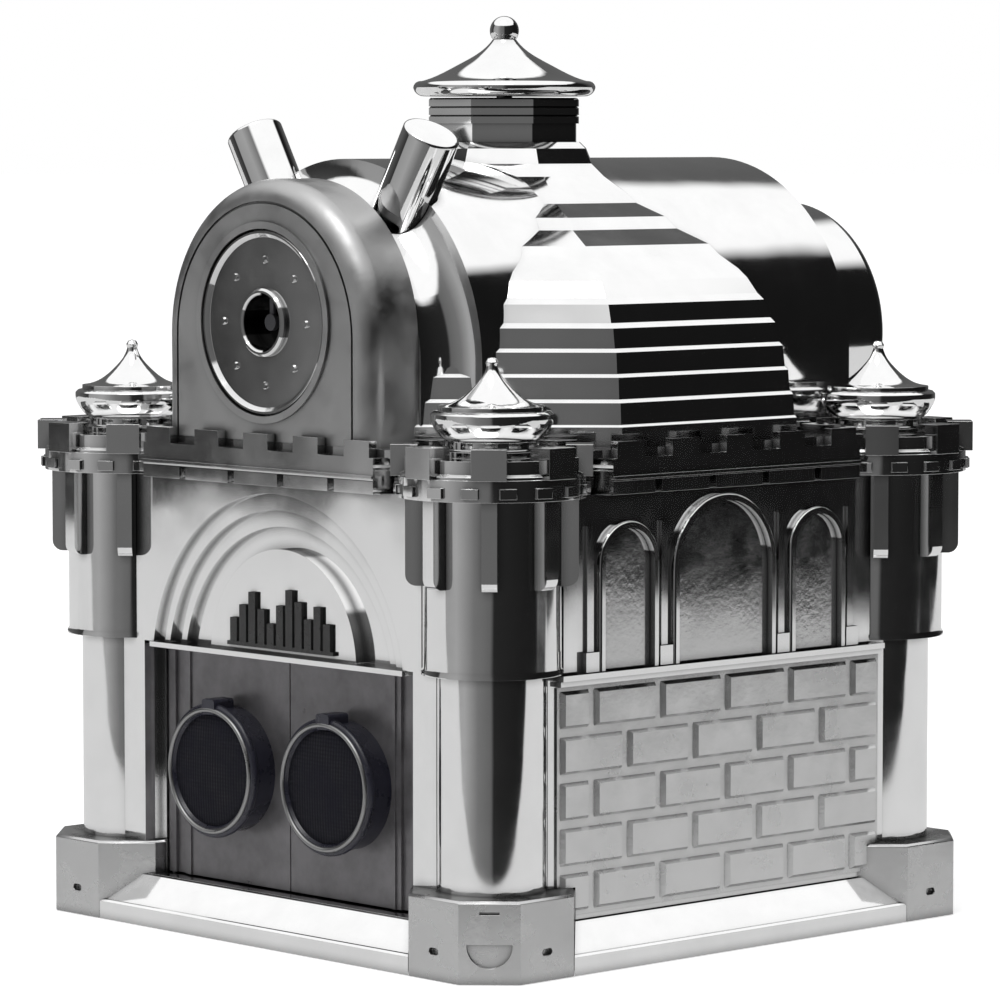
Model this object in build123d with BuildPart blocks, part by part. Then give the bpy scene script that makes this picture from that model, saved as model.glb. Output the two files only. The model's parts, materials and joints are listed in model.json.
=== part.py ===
from build123d import *
import math
import os

# A boombox in a chrome-plated case shaped like a small domed building.
# Millimetres, +Z up. The origin is the middle of the plan, on the surface that the feet stand on.
# The front, with the two doors, faces -Y.

os.makedirs("parts", exist_ok=True)

# Plan
COLUMN_AXIS = 100.0          # column axes from the middle, along X and along Y
WALL_FACE = 115.0            # outer plane of the four walls
WALL_THICK = 3.0
WALL_HALF_SPAN = 97.0        # walls run into the columns
CLEAR = 0.15                 # air round pieces that are fixed to each other

# Heights
RAIL_BOTTOM = 0.2
RAIL_TOP = 7.5
SKIRT_TOP = 17.0
PLINTH_TOP = 29.4
SILL_BOTTOM = 101.0
SLEEVE_BOTTOM = 106.0
TAB_BOTTOM = 137.0
WALL_TOP = 168.0
SLEEVE_TOP = 175.0
DECK_BOTTOM = 181.0
DECK_TOP = 184.0
PARAPET_TOP = 187.0

# Base and plinths
RAIL_HALF = 128.0
SKIRT_FOOT = 126.0
TRAY_INNER = 111.0
TRAY_FLOOR_TOP = 4.0
PLINTH_HALF = 28.2
PLINTH_CORNER = 15.3
FOOT_RADIUS = 12.0
FOOT_HEIGHT = 3.0
SCREW_RADIUS = 1.5
SCREW_HEAD_RADIUS = 2.8
SCREW_HEAD_BOTTOM = 0.5
SCREW_HEAD_TOP = 1.7

# Columns
SHAFT_RADIUS = 19.5
SLEEVE_RADIUS = 24.5
TAB_OUTER = 30.5
TAB_WIDTH = 5.4
CAPITAL_REACH = 35.5
CAPITAL_BODY = 31.0
FINIAL_RADIUS = 21.6
FINIAL_NECK = 16.4
COLLAR_OUTER = 33.2          # collar hanging from the capital round the tabs' tops
COLLAR_BOTTOM = 168.4

# Portal and doors
DOOR_RECESS_HALF = 75.0
DOOR_FACE = 107.6            # front face of the closed leaves, distance forward of the middle
DOOR_THICK = 6.0
DOOR_BOTTOM = 18.0
DOOR_TOP = 103.2
LEAF_OUTER = 71.2
HINGE_X = 69.2
HINGE_Y = -105.6
HINGE_PIN_RADIUS = 1.0
ARCH_RADIUS = 70.6
ARCH_CENTRE = 94.0
ARCH_STEP_WIDTH = 6.2
ARCH_STEP_DEPTH = 2.8
LEDGE_TOP = 105.5
TYMPANUM_RADIUS = 40.6
TYMPANUM_FACE = 111.3
TYMPANUM_CENTRE = 103.5

# Speaker pods on the doors
POD_X = 32.0
POD_Z = 60.5
POD_RADIUS = 23.4
POD_RIM_RADIUS = 25.0
POD_FACE = 119.5

# Side walls
PANEL_HALF = 83.5
PANEL_BOTTOM = 19.3
BRICK_ROWS = 5
BRICK_ROW_HEIGHT = 16.28
BRICKS_PER_ROW = 5
BRICK_JOINT = 3.0
BRICK_FACE = 117.5
WINDOW_BOTTOM = 105.0
SIDE_WINDOW_X = 49.0
SIDE_WINDOW_HALF = 15.0
SIDE_WINDOW_TOP = 158.0
MID_WINDOW_HALF = 26.7
MID_WINDOW_TOP = 165.5
WINDOW_RIM = 2.6

# Jacks in the rear wall, seen from behind
JACK_HEIGHT = 32.0
JACK_X = (-60.0, -40.0)
JACK_RADIUS = 5.5

# Parapet
PARAPET_FACE = 124.0
PARAPET_INNER = 110.0
PARAPET_HALF = 64.0
MERLON_PITCH = 27.6
MERLON_WIDTH = 13.5
MERLON_THICK = 3.6
DENTIL_LENGTH = 24.0

# Gable bezel and tuning dial
BEZEL_FRONT = -120.0
BEZEL_BACK = -96.0
BEZEL_HALF = 57.0
BEZEL_CENTRE = 222.0
DIAL_CENTRE = 227.0
DIAL_RADIUS = 33.5
DIAL_SHAFT_RADIUS = 3.0
PIP_CIRCLE = 22.8

# Barrel vault, rear drum and push buttons
VAULT_RADIUS = 74.0
VAULT_CENTRE = 212.0
VAULT_REAR = 112.0
COVE_START_RADIUS = 58.5
COVE_END = -80.5
SHELL = 3.0
DRUM_RADIUS = 51.0
DRUM_CENTRE = 217.0
DRUM_REAR = 160.0
DRUM_BOTTOM = 187.4          # flat underside, just over the parapet
WOOFER_RADIUS = 26.5
BUTTON_ANGLE = 30.5
BUTTON_Y = -82.0
BUTTON_RADIUS = 10.6
BUTTON_TOP = 97.2            # distance of the button's face from the vault's axis

# Dome: height and half width across flats at the foot of each tier
DOME_TIERS = (
    (187.0, 109.4),
    (191.5, 108.6),
    (200.5, 106.8),
    (209.5, 105.0),
    (218.5, 102.9),
    (227.5, 99.6),
    (236.5, 94.8),
    (245.5, 87.7),
    (254.5, 76.8),
    (264.5, 60.5),
    (273.5, 45.7),
    (284.0, 33.0),
    (292.0, 28.4),
)
DOME_SHELL = 3.4

# Lantern and volume cap
LANTERN_HALF = 27.0
LANTERN_TOP_HALF = 28.0
LANTERN_BOTTOM = 292.0
LANTERN_SPLIT = 299.0
LANTERN_TOP = 308.6
CAP_RADIUS = 34.4
CAP_BOTTOM = 309.3
CAP_TOP = 339.4
POT_SHAFT_RADIUS = 3.0

RUN_CLEARANCE = 0.05         # running fit of shafts and pins

# Outward-looking planes of the four walls: X runs along the wall and Y runs up.
FRONT = Plane(origin=(0, 0, 0), x_dir=(1, 0, 0), z_dir=(0, -1, 0))
RIGHT = Plane(origin=(0, 0, 0), x_dir=(0, 1, 0), z_dir=(1, 0, 0))
REAR = Plane(origin=(0, 0, 0), x_dir=(-1, 0, 0), z_dir=(0, 1, 0))
LEFT = Plane(origin=(0, 0, 0), x_dir=(0, -1, 0), z_dir=(-1, 0, 0))

CORNERS = {
    "front_left": (-1, -1),
    "front_right": (1, -1),
    "rear_right": (1, 1),
    "rear_left": (-1, 1),
}
CORNER_POINTS = [(sx * COLUMN_AXIS, sy * COLUMN_AXIS) for sx, sy in CORNERS.values()]


def octagon(half):
    """A regular octagon with a flat side towards each wall."""
    RegularPolygon(half, 8, major_radius=False, rotation=22.5)


def plinth_outlines(height, points, extra=0.0):
    """The plinths' plan at one height: squares with large chamfered corners."""
    side = 2 * (PLINTH_HALF + extra)
    with BuildSketch(Plane.XY.offset(height)) as plan:
        with Locations(*points):
            Rectangle(side, side)
        chamfer(plan.vertices(), length=PLINTH_CORNER)
    return plan.sketch


def arch_outline(half, bottom, top, centre_x=0.0):
    """Add a round-topped opening to the sketch being drawn."""
    spring = top - half
    with BuildLine() as outline:
        Line((centre_x - half, bottom), (centre_x + half, bottom))
        Line((centre_x + half, bottom), (centre_x + half, spring))
        ThreePointArc((centre_x + half, spring), (centre_x, top), (centre_x - half, spring))
        Line((centre_x - half, spring), (centre_x - half, bottom))
    make_face(outline.edges())


def crown_middle(half, rise):
    """Middle point of the arc from (half, 0) up to (0, rise), for an arc centred on the axis."""
    radius = (half * half + rise * rise) / (2 * rise)
    turn = math.asin(half / radius) / 2
    return (radius * math.sin(turn), rise - radius * (1 - math.cos(turn)))


def cut_columns(bottom, top):
    """Cut the space of the plinths, shafts, sleeves and tabs out of the part being built."""
    plinth_cut = min(PLINTH_TOP, top) - bottom
    if plinth_cut > 0:
        extrude(plinth_outlines(bottom, CORNER_POINTS, CLEAR), amount=plinth_cut, mode=Mode.SUBTRACT)
    levels = (
        (PLINTH_TOP, SLEEVE_BOTTOM, SHAFT_RADIUS),
        (SLEEVE_BOTTOM, SLEEVE_TOP, SLEEVE_RADIUS + 0.7),
    )
    for low, high, radius in levels:
        start = max(low, bottom)
        end = min(high, top)
        if end > start:
            with BuildSketch(Plane.XY.offset(start)) as rounds:
                with Locations(*CORNER_POINTS):
                    Circle(radius + CLEAR)
            extrude(rounds.sketch, amount=end - start, mode=Mode.SUBTRACT)
    if top > TAB_BOTTOM:
        with BuildSketch(Plane.XY.offset(TAB_BOTTOM - CLEAR)) as tabs:
            for x, y in CORNER_POINTS:
                with Locations((x, y)):
                    with PolarLocations(TAB_OUTER - 3.0 + CLEAR, 8):
                        Rectangle(6.0 + 2 * CLEAR, TAB_WIDTH + 2 * CLEAR)
        extrude(tabs.sketch, amount=top - TAB_BOTTOM + CLEAR, mode=Mode.SUBTRACT)


# ---------------------------------------------------------------- base

# Base tray: low rail, sloped skirt and floor, notched for the four plinths
FLOOR_SCREWS = [(x, y) for x in (-50.0, 50.0) for y in (-104.0, 104.0)]
FLOOR_SCREWS += [(x, y) for x in (-104.0, 104.0) for y in (-50.0, 50.0)]
with BuildPart() as base_tray:
    with BuildSketch(Plane.XY.offset(RAIL_BOTTOM)):
        Rectangle(2 * RAIL_HALF, 2 * RAIL_HALF)
    extrude(amount=RAIL_TOP - RAIL_BOTTOM)
    chamfer(base_tray.edges().group_by(Axis.Z)[-1], length=0.8)
    with BuildSketch(Plane.XY.offset(RAIL_TOP)):
        Rectangle(2 * SKIRT_FOOT, 2 * SKIRT_FOOT)
    extrude(amount=SKIRT_TOP - RAIL_TOP, taper=45)
    with BuildSketch(Plane.XY.offset(TRAY_FLOOR_TOP)):
        Rectangle(2 * TRAY_INNER, 2 * TRAY_INNER)
    extrude(amount=SKIRT_TOP, mode=Mode.SUBTRACT)
    cut_columns(RAIL_BOTTOM, SKIRT_TOP)
    with BuildSketch(Plane.XY.offset(RAIL_BOTTOM)):
        with GridLocations(2 * RAIL_HALF, 2 * RAIL_HALF, 2, 2):
            Rectangle(2 * (RAIL_HALF - COLUMN_AXIS), 2 * (RAIL_HALF - COLUMN_AXIS))
    extrude(amount=SKIRT_TOP, mode=Mode.SUBTRACT)
    with BuildSketch(Plane.XY.offset(RAIL_BOTTOM)):
        with Locations(*FLOOR_SCREWS):
            Circle(SCREW_RADIUS + CLEAR)
    extrude(amount=TRAY_FLOOR_TOP, mode=Mode.SUBTRACT)
    with BuildSketch(Plane.XY.offset(RAIL_BOTTOM)):
        with Locations(*FLOOR_SCREWS):
            Circle(SCREW_HEAD_RADIUS + CLEAR)
    extrude(amount=SCREW_HEAD_TOP - RAIL_BOTTOM, mode=Mode.SUBTRACT)
base_tray.part.label = "base_tray"
export_step(base_tray.part, "parts/base_tray.step")

# Four plinths, each with a shield recess and a slit on its outer corner face
SHIELD_WIDTH = 16.0
SHIELD_TOP = 14.2
SHIELD_HEIGHT = 8.4
for corner, (sx, sy) in CORNERS.items():
    cx = sx * COLUMN_AXIS
    cy = sy * COLUMN_AXIS
    reach = (2 * PLINTH_HALF - PLINTH_CORNER) / math.sqrt(2)
    outward = Vector(sx, sy, 0).normalized()
    corner_face = Plane(
        origin=(cx + outward.X * reach, cy + outward.Y * reach, 0),
        x_dir=(-outward.Y, outward.X, 0),
        z_dir=outward,
    )
    with BuildPart() as plinth:
        extrude(plinth_outlines(RAIL_BOTTOM, [(cx, cy)]), amount=PLINTH_TOP - RAIL_BOTTOM)
        chamfer(plinth.edges().group_by(Axis.Z)[-1], length=0.9)
        with BuildSketch(Plane(origin=(cx, cy, RAIL_BOTTOM + 5))):
            Circle(SHAFT_RADIUS - 3.5)
        extrude(amount=PLINTH_TOP, mode=Mode.SUBTRACT)
        with BuildSketch(Plane(origin=(cx, cy, RAIL_BOTTOM))):
            Circle(FOOT_RADIUS + CLEAR)
        extrude(amount=FOOT_HEIGHT - RAIL_BOTTOM, mode=Mode.SUBTRACT)
        with BuildSketch(Plane(origin=(cx, cy, 0))):
            Circle(SCREW_RADIUS)
        extrude(amount=12, mode=Mode.SUBTRACT)
        with BuildSketch(corner_face):
            with Locations((0, SHIELD_TOP)):
                Ellipse(SHIELD_WIDTH / 2, SHIELD_HEIGHT)
            with Locations((0, SHIELD_TOP + 10)):
                Rectangle(2 * SHIELD_WIDTH, 20, mode=Mode.SUBTRACT)
            with Locations((0, PLINTH_TOP - 4.2)):
                Rectangle(7.0, 1.0)
        extrude(amount=-1.4, mode=Mode.SUBTRACT)
        for side in (Vector(sx, 0, 0), Vector(0, sy, 0)):
            slot_face = Plane(
                origin=(cx + side.X * PLINTH_HALF, cy + side.Y * PLINTH_HALF, 10.4),
                x_dir=(-side.Y, side.X, 0),
                z_dir=side,
            )
            with BuildSketch(slot_face):
                SlotOverall(4.8, 2.4)
            extrude(amount=-1.8, mode=Mode.SUBTRACT)
    plinth.part.label = f"plinth_{corner}"
    export_step(plinth.part, f"parts/plinth_{corner}.step")

# Rubber feet, one under each plinth
with BuildPart() as rubber_feet:
    with BuildSketch():
        with Locations(*CORNER_POINTS):
            Circle(FOOT_RADIUS)
            Circle(SCREW_HEAD_RADIUS + 1, mode=Mode.SUBTRACT)
    extrude(amount=SCREW_HEAD_TOP)
    with BuildSketch(Plane.XY.offset(SCREW_HEAD_TOP)):
        with Locations(*CORNER_POINTS):
            Circle(FOOT_RADIUS)
            Circle(SCREW_RADIUS + CLEAR, mode=Mode.SUBTRACT)
    extrude(amount=FOOT_HEIGHT - SCREW_HEAD_TOP)
rubber_feet.part.label = "rubber_feet"
export_step(rubber_feet.part, "parts/rubber_feet.step")

# Pan-head screws: four through the feet, the others through the tray's floor into the walls
with BuildPart() as base_screws:
    with BuildSketch(Plane.XY.offset(SCREW_HEAD_BOTTOM)):
        with Locations(*CORNER_POINTS, *FLOOR_SCREWS):
            Circle(SCREW_HEAD_RADIUS)
    extrude(amount=SCREW_HEAD_TOP - SCREW_HEAD_BOTTOM)
    with BuildSketch(Plane.XY.offset(SCREW_HEAD_TOP)):
        with Locations(*CORNER_POINTS, *FLOOR_SCREWS):
            Circle(SCREW_RADIUS)
    extrude(amount=10.0)
base_screws.part.label = "base_screws"
export_step(base_screws.part, "parts/base_screws.step")

# ---------------------------------------------------------------- corner columns

for corner, (sx, sy) in CORNERS.items():
    cx = sx * COLUMN_AXIS
    cy = sy * COLUMN_AXIS
    axis = Axis((cx, cy, 0), (0, 0, 1))
    section = Plane(origin=(cx, cy, 0), x_dir=(1, 0, 0), z_dir=(0, -1, 0))

    # Shaft and wider sleeve in one moulding, with eight hanging tabs round the sleeve
    with BuildPart() as column:
        with BuildSketch(section):
            with BuildLine():
                Polyline(
                    (SHAFT_RADIUS - 3, PLINTH_TOP),
                    (SHAFT_RADIUS, PLINTH_TOP),
                    (SHAFT_RADIUS, SLEEVE_BOTTOM),
                    (SLEEVE_RADIUS + 0.7, SLEEVE_BOTTOM),
                    (SLEEVE_RADIUS + 0.7, SLEEVE_BOTTOM + 1.2),
                    (SLEEVE_RADIUS, SLEEVE_BOTTOM + 2.2),
                    (SLEEVE_RADIUS, SLEEVE_TOP),
                    (SLEEVE_RADIUS - 3, SLEEVE_TOP),
                    (SLEEVE_RADIUS - 3, SLEEVE_BOTTOM + 6),
                    (SHAFT_RADIUS - 3, SLEEVE_BOTTOM),
                    close=True,
                )
            make_face()
        revolve(axis=axis)
        for step in range(8):
            turn = math.radians(45 * step)
            radial = Vector(math.cos(turn), math.sin(turn), 0)
            tab_plane = Plane(origin=(cx, cy, 0), x_dir=radial, z_dir=radial.cross(Vector(0, 0, 1)))
            with BuildSketch(tab_plane):
                with BuildLine():
                    Line((SLEEVE_RADIUS - 1, SLEEVE_TOP), (SLEEVE_RADIUS - 1, TAB_BOTTOM))
                    Line((SLEEVE_RADIUS - 1, TAB_BOTTOM), (TAB_OUTER - 4, TAB_BOTTOM))
                    RadiusArc((TAB_OUTER - 4, TAB_BOTTOM), (TAB_OUTER, TAB_BOTTOM + 4), -4)
                    Line((TAB_OUTER, TAB_BOTTOM + 4), (TAB_OUTER, SLEEVE_TOP))
                    Line((TAB_OUTER, SLEEVE_TOP), (SLEEVE_RADIUS - 1, SLEEVE_TOP))
                make_face()
            extrude(amount=TAB_WIDTH / 2, both=True)
    column.part.label = f"column_{corner}"
    export_step(column.part, f"parts/column_{corner}.step")

    # Crenellated capital with its pointed finial
    with BuildPart() as capital:
        with BuildSketch(section):
            with BuildLine():
                Polyline(
                    (0, SLEEVE_TOP),
                    (CAPITAL_BODY + 1.6, SLEEVE_TOP),
                    (CAPITAL_BODY + 1.6, SLEEVE_TOP + 2),
                    (CAPITAL_BODY, SLEEVE_TOP + 2.8),
                    (CAPITAL_BODY, 182.5),
                    (FINIAL_NECK + 1.6, 182.5),
                    (FINIAL_NECK + 1.6, 184.6),
                    (FINIAL_NECK, 185.4),
                    (FINIAL_NECK, 188.0),
                )
                Spline(
                    (FINIAL_NECK, 188.0),
                    (FINIAL_RADIUS - 1.2, 192.4),
                    (FINIAL_RADIUS, 196.2),
                    tangents=((1, 0.6), (0, 1)),
                )
                Polyline(
                    (FINIAL_RADIUS, 196.2),
                    (FINIAL_RADIUS, 197.4),
                    (FINIAL_RADIUS - 1.0, 198.4),
                    (FINIAL_RADIUS - 2.6, 198.6),
                    (FINIAL_RADIUS - 2.6, 200.2),
                )
                Spline(
                    (FINIAL_RADIUS - 2.6, 200.2),
                    (12.6, 202.0),
                    (5.6, 207.8),
                    (1.9, 214.0),
                    tangents=((-1, 0.1), (-0.3, 1)),
                )
                Polyline((1.9, 214.0), (2.3, 215.4), (1.5, 216.8), (0, 217.2), (0, SLEEVE_TOP))
            make_face()
        revolve(axis=axis)
        with BuildSketch(Plane(origin=(cx, cy, SLEEVE_TOP + 1.0))):
            with PolarLocations(CAPITAL_REACH - 4.8, 8):
                Rectangle(9.6, 12.4)
        extrude(amount=PARAPET_TOP - SLEEVE_TOP - 1.0)
        with BuildSketch(Plane(origin=(cx, cy, SLEEVE_TOP))):
            Circle(SLEEVE_RADIUS - 5)
        extrude(amount=4.0, mode=Mode.SUBTRACT)
        with BuildSketch(Plane(origin=(cx, cy, COLLAR_BOTTOM))):
            Circle(COLLAR_OUTER)
            Circle(TAB_OUTER + CLEAR, mode=Mode.SUBTRACT)
        extrude(amount=SLEEVE_TOP + 1.0 - COLLAR_BOTTOM)
        with BuildSketch(Plane(origin=(cx, cy, COLLAR_BOTTOM + 1.2))):
            with PolarLocations(COLLAR_OUTER, 16, start_angle=11.25):
                Rectangle(2.8, 6.0)
        extrude(amount=3.6)
    capital.part.label = f"capital_{corner}"
    export_step(capital.part, f"parts/capital_{corner}.step")

# ---------------------------------------------------------------- walls


# Three walls with round-topped windows; the front wall is different
WINDOWS = (
    (-SIDE_WINDOW_X, SIDE_WINDOW_HALF, SIDE_WINDOW_TOP),
    (0.0, MID_WINDOW_HALF, MID_WINDOW_TOP),
    (SIDE_WINDOW_X, SIDE_WINDOW_HALF, SIDE_WINDOW_TOP),
)
WALL_INNER = WALL_FACE - WALL_THICK
for side, face in {"right": RIGHT, "left": LEFT, "rear": REAR}.items():
    with BuildPart() as wall:
        with BuildSketch(face.offset(WALL_INNER)):
            with Locations((0, (SKIRT_TOP + WALL_TOP) / 2)):
                Rectangle(2 * WALL_HALF_SPAN, WALL_TOP - SKIRT_TOP)
        extrude(amount=WALL_THICK)
        # raised rims round the windows, then the openings inside them
        with BuildSketch(face.offset(WALL_FACE)):
            for middle, half, top in WINDOWS:
                arch_outline(half, WINDOW_BOTTOM, top, middle)
        extrude(amount=WINDOW_RIM)
        outward = Axis(face.origin, face.z_dir)
        fillet(wall.edges().filter_by(GeomType.CIRCLE).sort_by(outward)[-3:], radius=1.0)
        with BuildSketch(face.offset(WALL_INNER)):
            for middle, half, top in WINDOWS:
                inner = half - WINDOW_RIM
                arch_outline(inner, WINDOW_BOTTOM, top - WINDOW_RIM, middle)
        extrude(amount=2 * WALL_THICK + WINDOW_RIM, mode=Mode.SUBTRACT)
        # window sill in two thin courses, and the pilasters with their base blocks
        with BuildSketch(face.offset(WALL_FACE)):
            with Locations((0, SILL_BOTTOM + 0.9)):
                Rectangle(2 * PANEL_HALF, 1.8)
        extrude(amount=2.8)
        with BuildSketch(face.offset(WALL_FACE)):
            with Locations((0, SILL_BOTTOM + 3.0)):
                Rectangle(2 * PANEL_HALF, 2.0)
        extrude(amount=4.2)
        with BuildSketch(face.offset(WALL_FACE)):
            for middle in (-67.5, -30.4, 30.4, 67.5):
                with Locations((middle, 131.0)):
                    Rectangle(3.2, 52.0)
        extrude(amount=1.2)
        with BuildSketch(face.offset(WALL_FACE)):
            for middle in (-67.5, -30.4, 30.4, 67.5):
                with Locations((middle, 108.6)):
                    Rectangle(6.4, 7.2)
        extrude(amount=2.4)
        with BuildSketch(face.offset(WALL_INNER)):
            with Locations((-50, 10.5), (50, 10.5)):
                Rectangle(12, 13.0)
            with Locations((-50, 20.0), (50, 20.0)):
                Rectangle(12, 6.0)
        extrude(amount=-14.0)
        with BuildSketch(face.offset(WALL_FACE)):
            with Locations((-50, 10.5), (50, 10.5)):
                Rectangle(12, 13.0)
        extrude(amount=-(WALL_FACE - TRAY_INNER + CLEAR), mode=Mode.SUBTRACT)
        with BuildSketch(Plane.XY.offset(TRAY_FLOOR_TOP)):
            with Locations(*FLOOR_SCREWS):
                Circle(SCREW_RADIUS)
        extrude(amount=8.0, mode=Mode.SUBTRACT)
        if side == "rear":
            with BuildSketch(face.offset(WALL_INNER)):
                with Locations(*[(x, JACK_HEIGHT) for x in JACK_X]):
                    Circle(JACK_RADIUS)
            extrude(amount=WALL_THICK, mode=Mode.SUBTRACT)
        cut_columns(SKIRT_TOP, WALL_TOP)
    wall.part.label = f"wall_{side}"
    export_step(wall.part, f"parts/wall_{side}.step")

# Brick panels on the two sides, bricks with bevelled edges on a thin backing
BRICK_PITCH = 2 * PANEL_HALF / BRICKS_PER_ROW
PANEL_TOP = PANEL_BOTTOM + BRICK_ROWS * BRICK_ROW_HEIGHT
BACKING = 0.8
for side, face in {"right": RIGHT, "left": LEFT}.items():
    with BuildPart() as bricks:
        with BuildSketch(face.offset(WALL_FACE)):
            with Locations((0, (PANEL_BOTTOM + PANEL_TOP) / 2)):
                Rectangle(2 * PANEL_HALF, PANEL_TOP - PANEL_BOTTOM)
        extrude(amount=BACKING)
        with BuildSketch(face.offset(WALL_FACE + BACKING)):
            for row in range(BRICK_ROWS):
                height = PANEL_TOP - (row + 0.5) * BRICK_ROW_HEIGHT
                shifted = row % 2 == 0
                for index in range(BRICKS_PER_ROW + (1 if shifted else 0)):
                    start = -PANEL_HALF + (index - (0.5 if shifted else 0.0)) * BRICK_PITCH
                    low = max(start, -PANEL_HALF) + BRICK_JOINT / 2
                    high = min(start + BRICK_PITCH, PANEL_HALF) - BRICK_JOINT / 2
                    with Locations(((low + high) / 2, height)):
                        Rectangle(high - low, BRICK_ROW_HEIGHT - BRICK_JOINT)
        extrude(amount=BRICK_FACE - WALL_FACE - BACKING, taper=35)
        cut_columns(PANEL_BOTTOM, PANEL_TOP)
    bricks.part.label = f"brick_panel_{side}"
    export_step(bricks.part, f"parts/brick_panel_{side}.step")

# Rear panel with cooling slots and two holes for the jacks
with BuildPart() as rear_panel:
    with BuildSketch(REAR.offset(WALL_FACE)):
        with Locations((0, (PANEL_BOTTOM + PANEL_TOP) / 2)):
            RectangleRounded(2 * PANEL_HALF, PANEL_TOP - PANEL_BOTTOM, 3.0)
        with Locations((15, 70)):
            with GridLocations(0, 7.0, 1, 6):
                SlotOverall(96, 2.6, mode=Mode.SUBTRACT)
        with Locations(*[(x, JACK_HEIGHT) for x in JACK_X]):
            Circle(JACK_RADIUS, mode=Mode.SUBTRACT)
    extrude(amount=2.0)
    cut_columns(PANEL_BOTTOM, PANEL_TOP)
rear_panel.part.label = "rear_panel"
export_step(rear_panel.part, "parts/rear_panel.step")

# Window grilles: one plate behind the three openings of each wall
for side, face in {"right": RIGHT, "left": LEFT, "rear": REAR}.items():
    with BuildPart() as grille:
        with BuildSketch(face.offset(WALL_INNER - 1.5)):
            with Locations((0, (WINDOW_BOTTOM + MID_WINDOW_TOP) / 2)):
                Rectangle(2 * (SIDE_WINDOW_X + SIDE_WINDOW_HALF), MID_WINDOW_TOP - WINDOW_BOTTOM)
        extrude(amount=1.5)
        with BuildSketch(face.offset(WALL_INNER)):
            for middle, half, top in WINDOWS:
                inner = half - WINDOW_RIM - CLEAR
                arch_outline(inner, WINDOW_BOTTOM + CLEAR, top - WINDOW_RIM - CLEAR, middle)
        extrude(amount=WALL_THICK)
    grille.part.label = f"window_grille_{side}"
    export_step(grille.part, f"parts/window_grille_{side}.step")

# Front wall: door recess below, stepped arch and tympanum above
PORTAL_HALF = 79.0
PORTAL_BACK = 101.0
with BuildPart() as front_wall:
    with BuildSketch(FRONT.offset(WALL_INNER)):
        with Locations((0, (SKIRT_TOP + WALL_TOP) / 2)):
            Rectangle(2 * WALL_HALF_SPAN, WALL_TOP - SKIRT_TOP)
    extrude(amount=WALL_THICK)
    with BuildSketch(FRONT.offset(PORTAL_BACK)):
        with Locations((0, (8.0 + WALL_TOP) / 2)):
            Rectangle(2 * PORTAL_HALF, WALL_TOP - 8.0)
    extrude(amount=WALL_INNER - PORTAL_BACK)
    with BuildSketch(FRONT.offset(TRAY_INNER - CLEAR)):
        with Locations((0, SKIRT_TOP / 2)):
            Rectangle(2 * PORTAL_HALF, SKIRT_TOP)
    extrude(amount=20, mode=Mode.SUBTRACT)
    # door recess, then the opening for the two leaves
    with BuildSketch(FRONT.offset(DOOR_FACE)):
        with Locations((0, (DOOR_BOTTOM - 0.6 + LEDGE_TOP) / 2)):
            Rectangle(2 * DOOR_RECESS_HALF, LEDGE_TOP - DOOR_BOTTOM + 0.6)
    extrude(amount=20, mode=Mode.SUBTRACT)
    with BuildSketch(FRONT.offset(PORTAL_BACK - 1)):
        with Locations((0, (DOOR_BOTTOM - 0.6 + DOOR_TOP + 0.4) / 2)):
            Rectangle(2 * (LEAF_OUTER + 0.35), DOOR_TOP - DOOR_BOTTOM + 1.0)
    extrude(amount=20, mode=Mode.SUBTRACT)
    # three concentric steps of the arch
    for step in range(3):
        radius = ARCH_RADIUS - step * ARCH_STEP_WIDTH
        with BuildSketch(FRONT.offset(WALL_FACE - (step + 1) * ARCH_STEP_DEPTH)):
            with Locations((0, ARCH_CENTRE)):
                Circle(radius)
            with Locations((0, LEDGE_TOP - 100)):
                Rectangle(400, 200, mode=Mode.SUBTRACT)
        extrude(amount=20, mode=Mode.SUBTRACT)
    # raised half disc of the tympanum
    with BuildSketch(FRONT.offset(DOOR_FACE - 1.5)):
        with Locations((0, TYMPANUM_CENTRE)):
            Circle(TYMPANUM_RADIUS)
        with Locations((0, LEDGE_TOP - 100.5)):
            Rectangle(400, 200, mode=Mode.SUBTRACT)
    extrude(amount=TYMPANUM_FACE - DOOR_FACE + 1.5)
    # ledge over the doors
    with BuildSketch(FRONT.offset(DOOR_FACE - 1.5)):
        with Locations((0, (DOOR_TOP + 0.4 + LEDGE_TOP) / 2)):
            Rectangle(2 * ARCH_RADIUS, LEDGE_TOP - DOOR_TOP - 0.4)
    extrude(amount=WALL_FACE + 1.2 - DOOR_FACE + 1.5)
    # sockets for the hinge pins and screw lugs
    with BuildSketch(Plane.XY.offset(12.0)):
        with Locations((-HINGE_X, HINGE_Y), (HINGE_X, HINGE_Y)):
            Circle(HINGE_PIN_RADIUS)
    extrude(amount=DOOR_TOP - 12.0 + 6.4, mode=Mode.SUBTRACT)
    with BuildSketch(Plane.XY.offset(TRAY_FLOOR_TOP)):
        with Locations((-50, -105.0), (50, -105.0)):
            Rectangle(12, 10)
    extrude(amount=8.0)
    with BuildSketch(Plane.XY.offset(TRAY_FLOOR_TOP)):
        with Locations(*FLOOR_SCREWS):
            Circle(SCREW_RADIUS)
    extrude(amount=8.0, mode=Mode.SUBTRACT)
    cut_columns(TRAY_FLOOR_TOP, WALL_TOP)
front_wall.part.label = "front_wall"
export_step(front_wall.part, "parts/front_wall.step")

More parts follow.
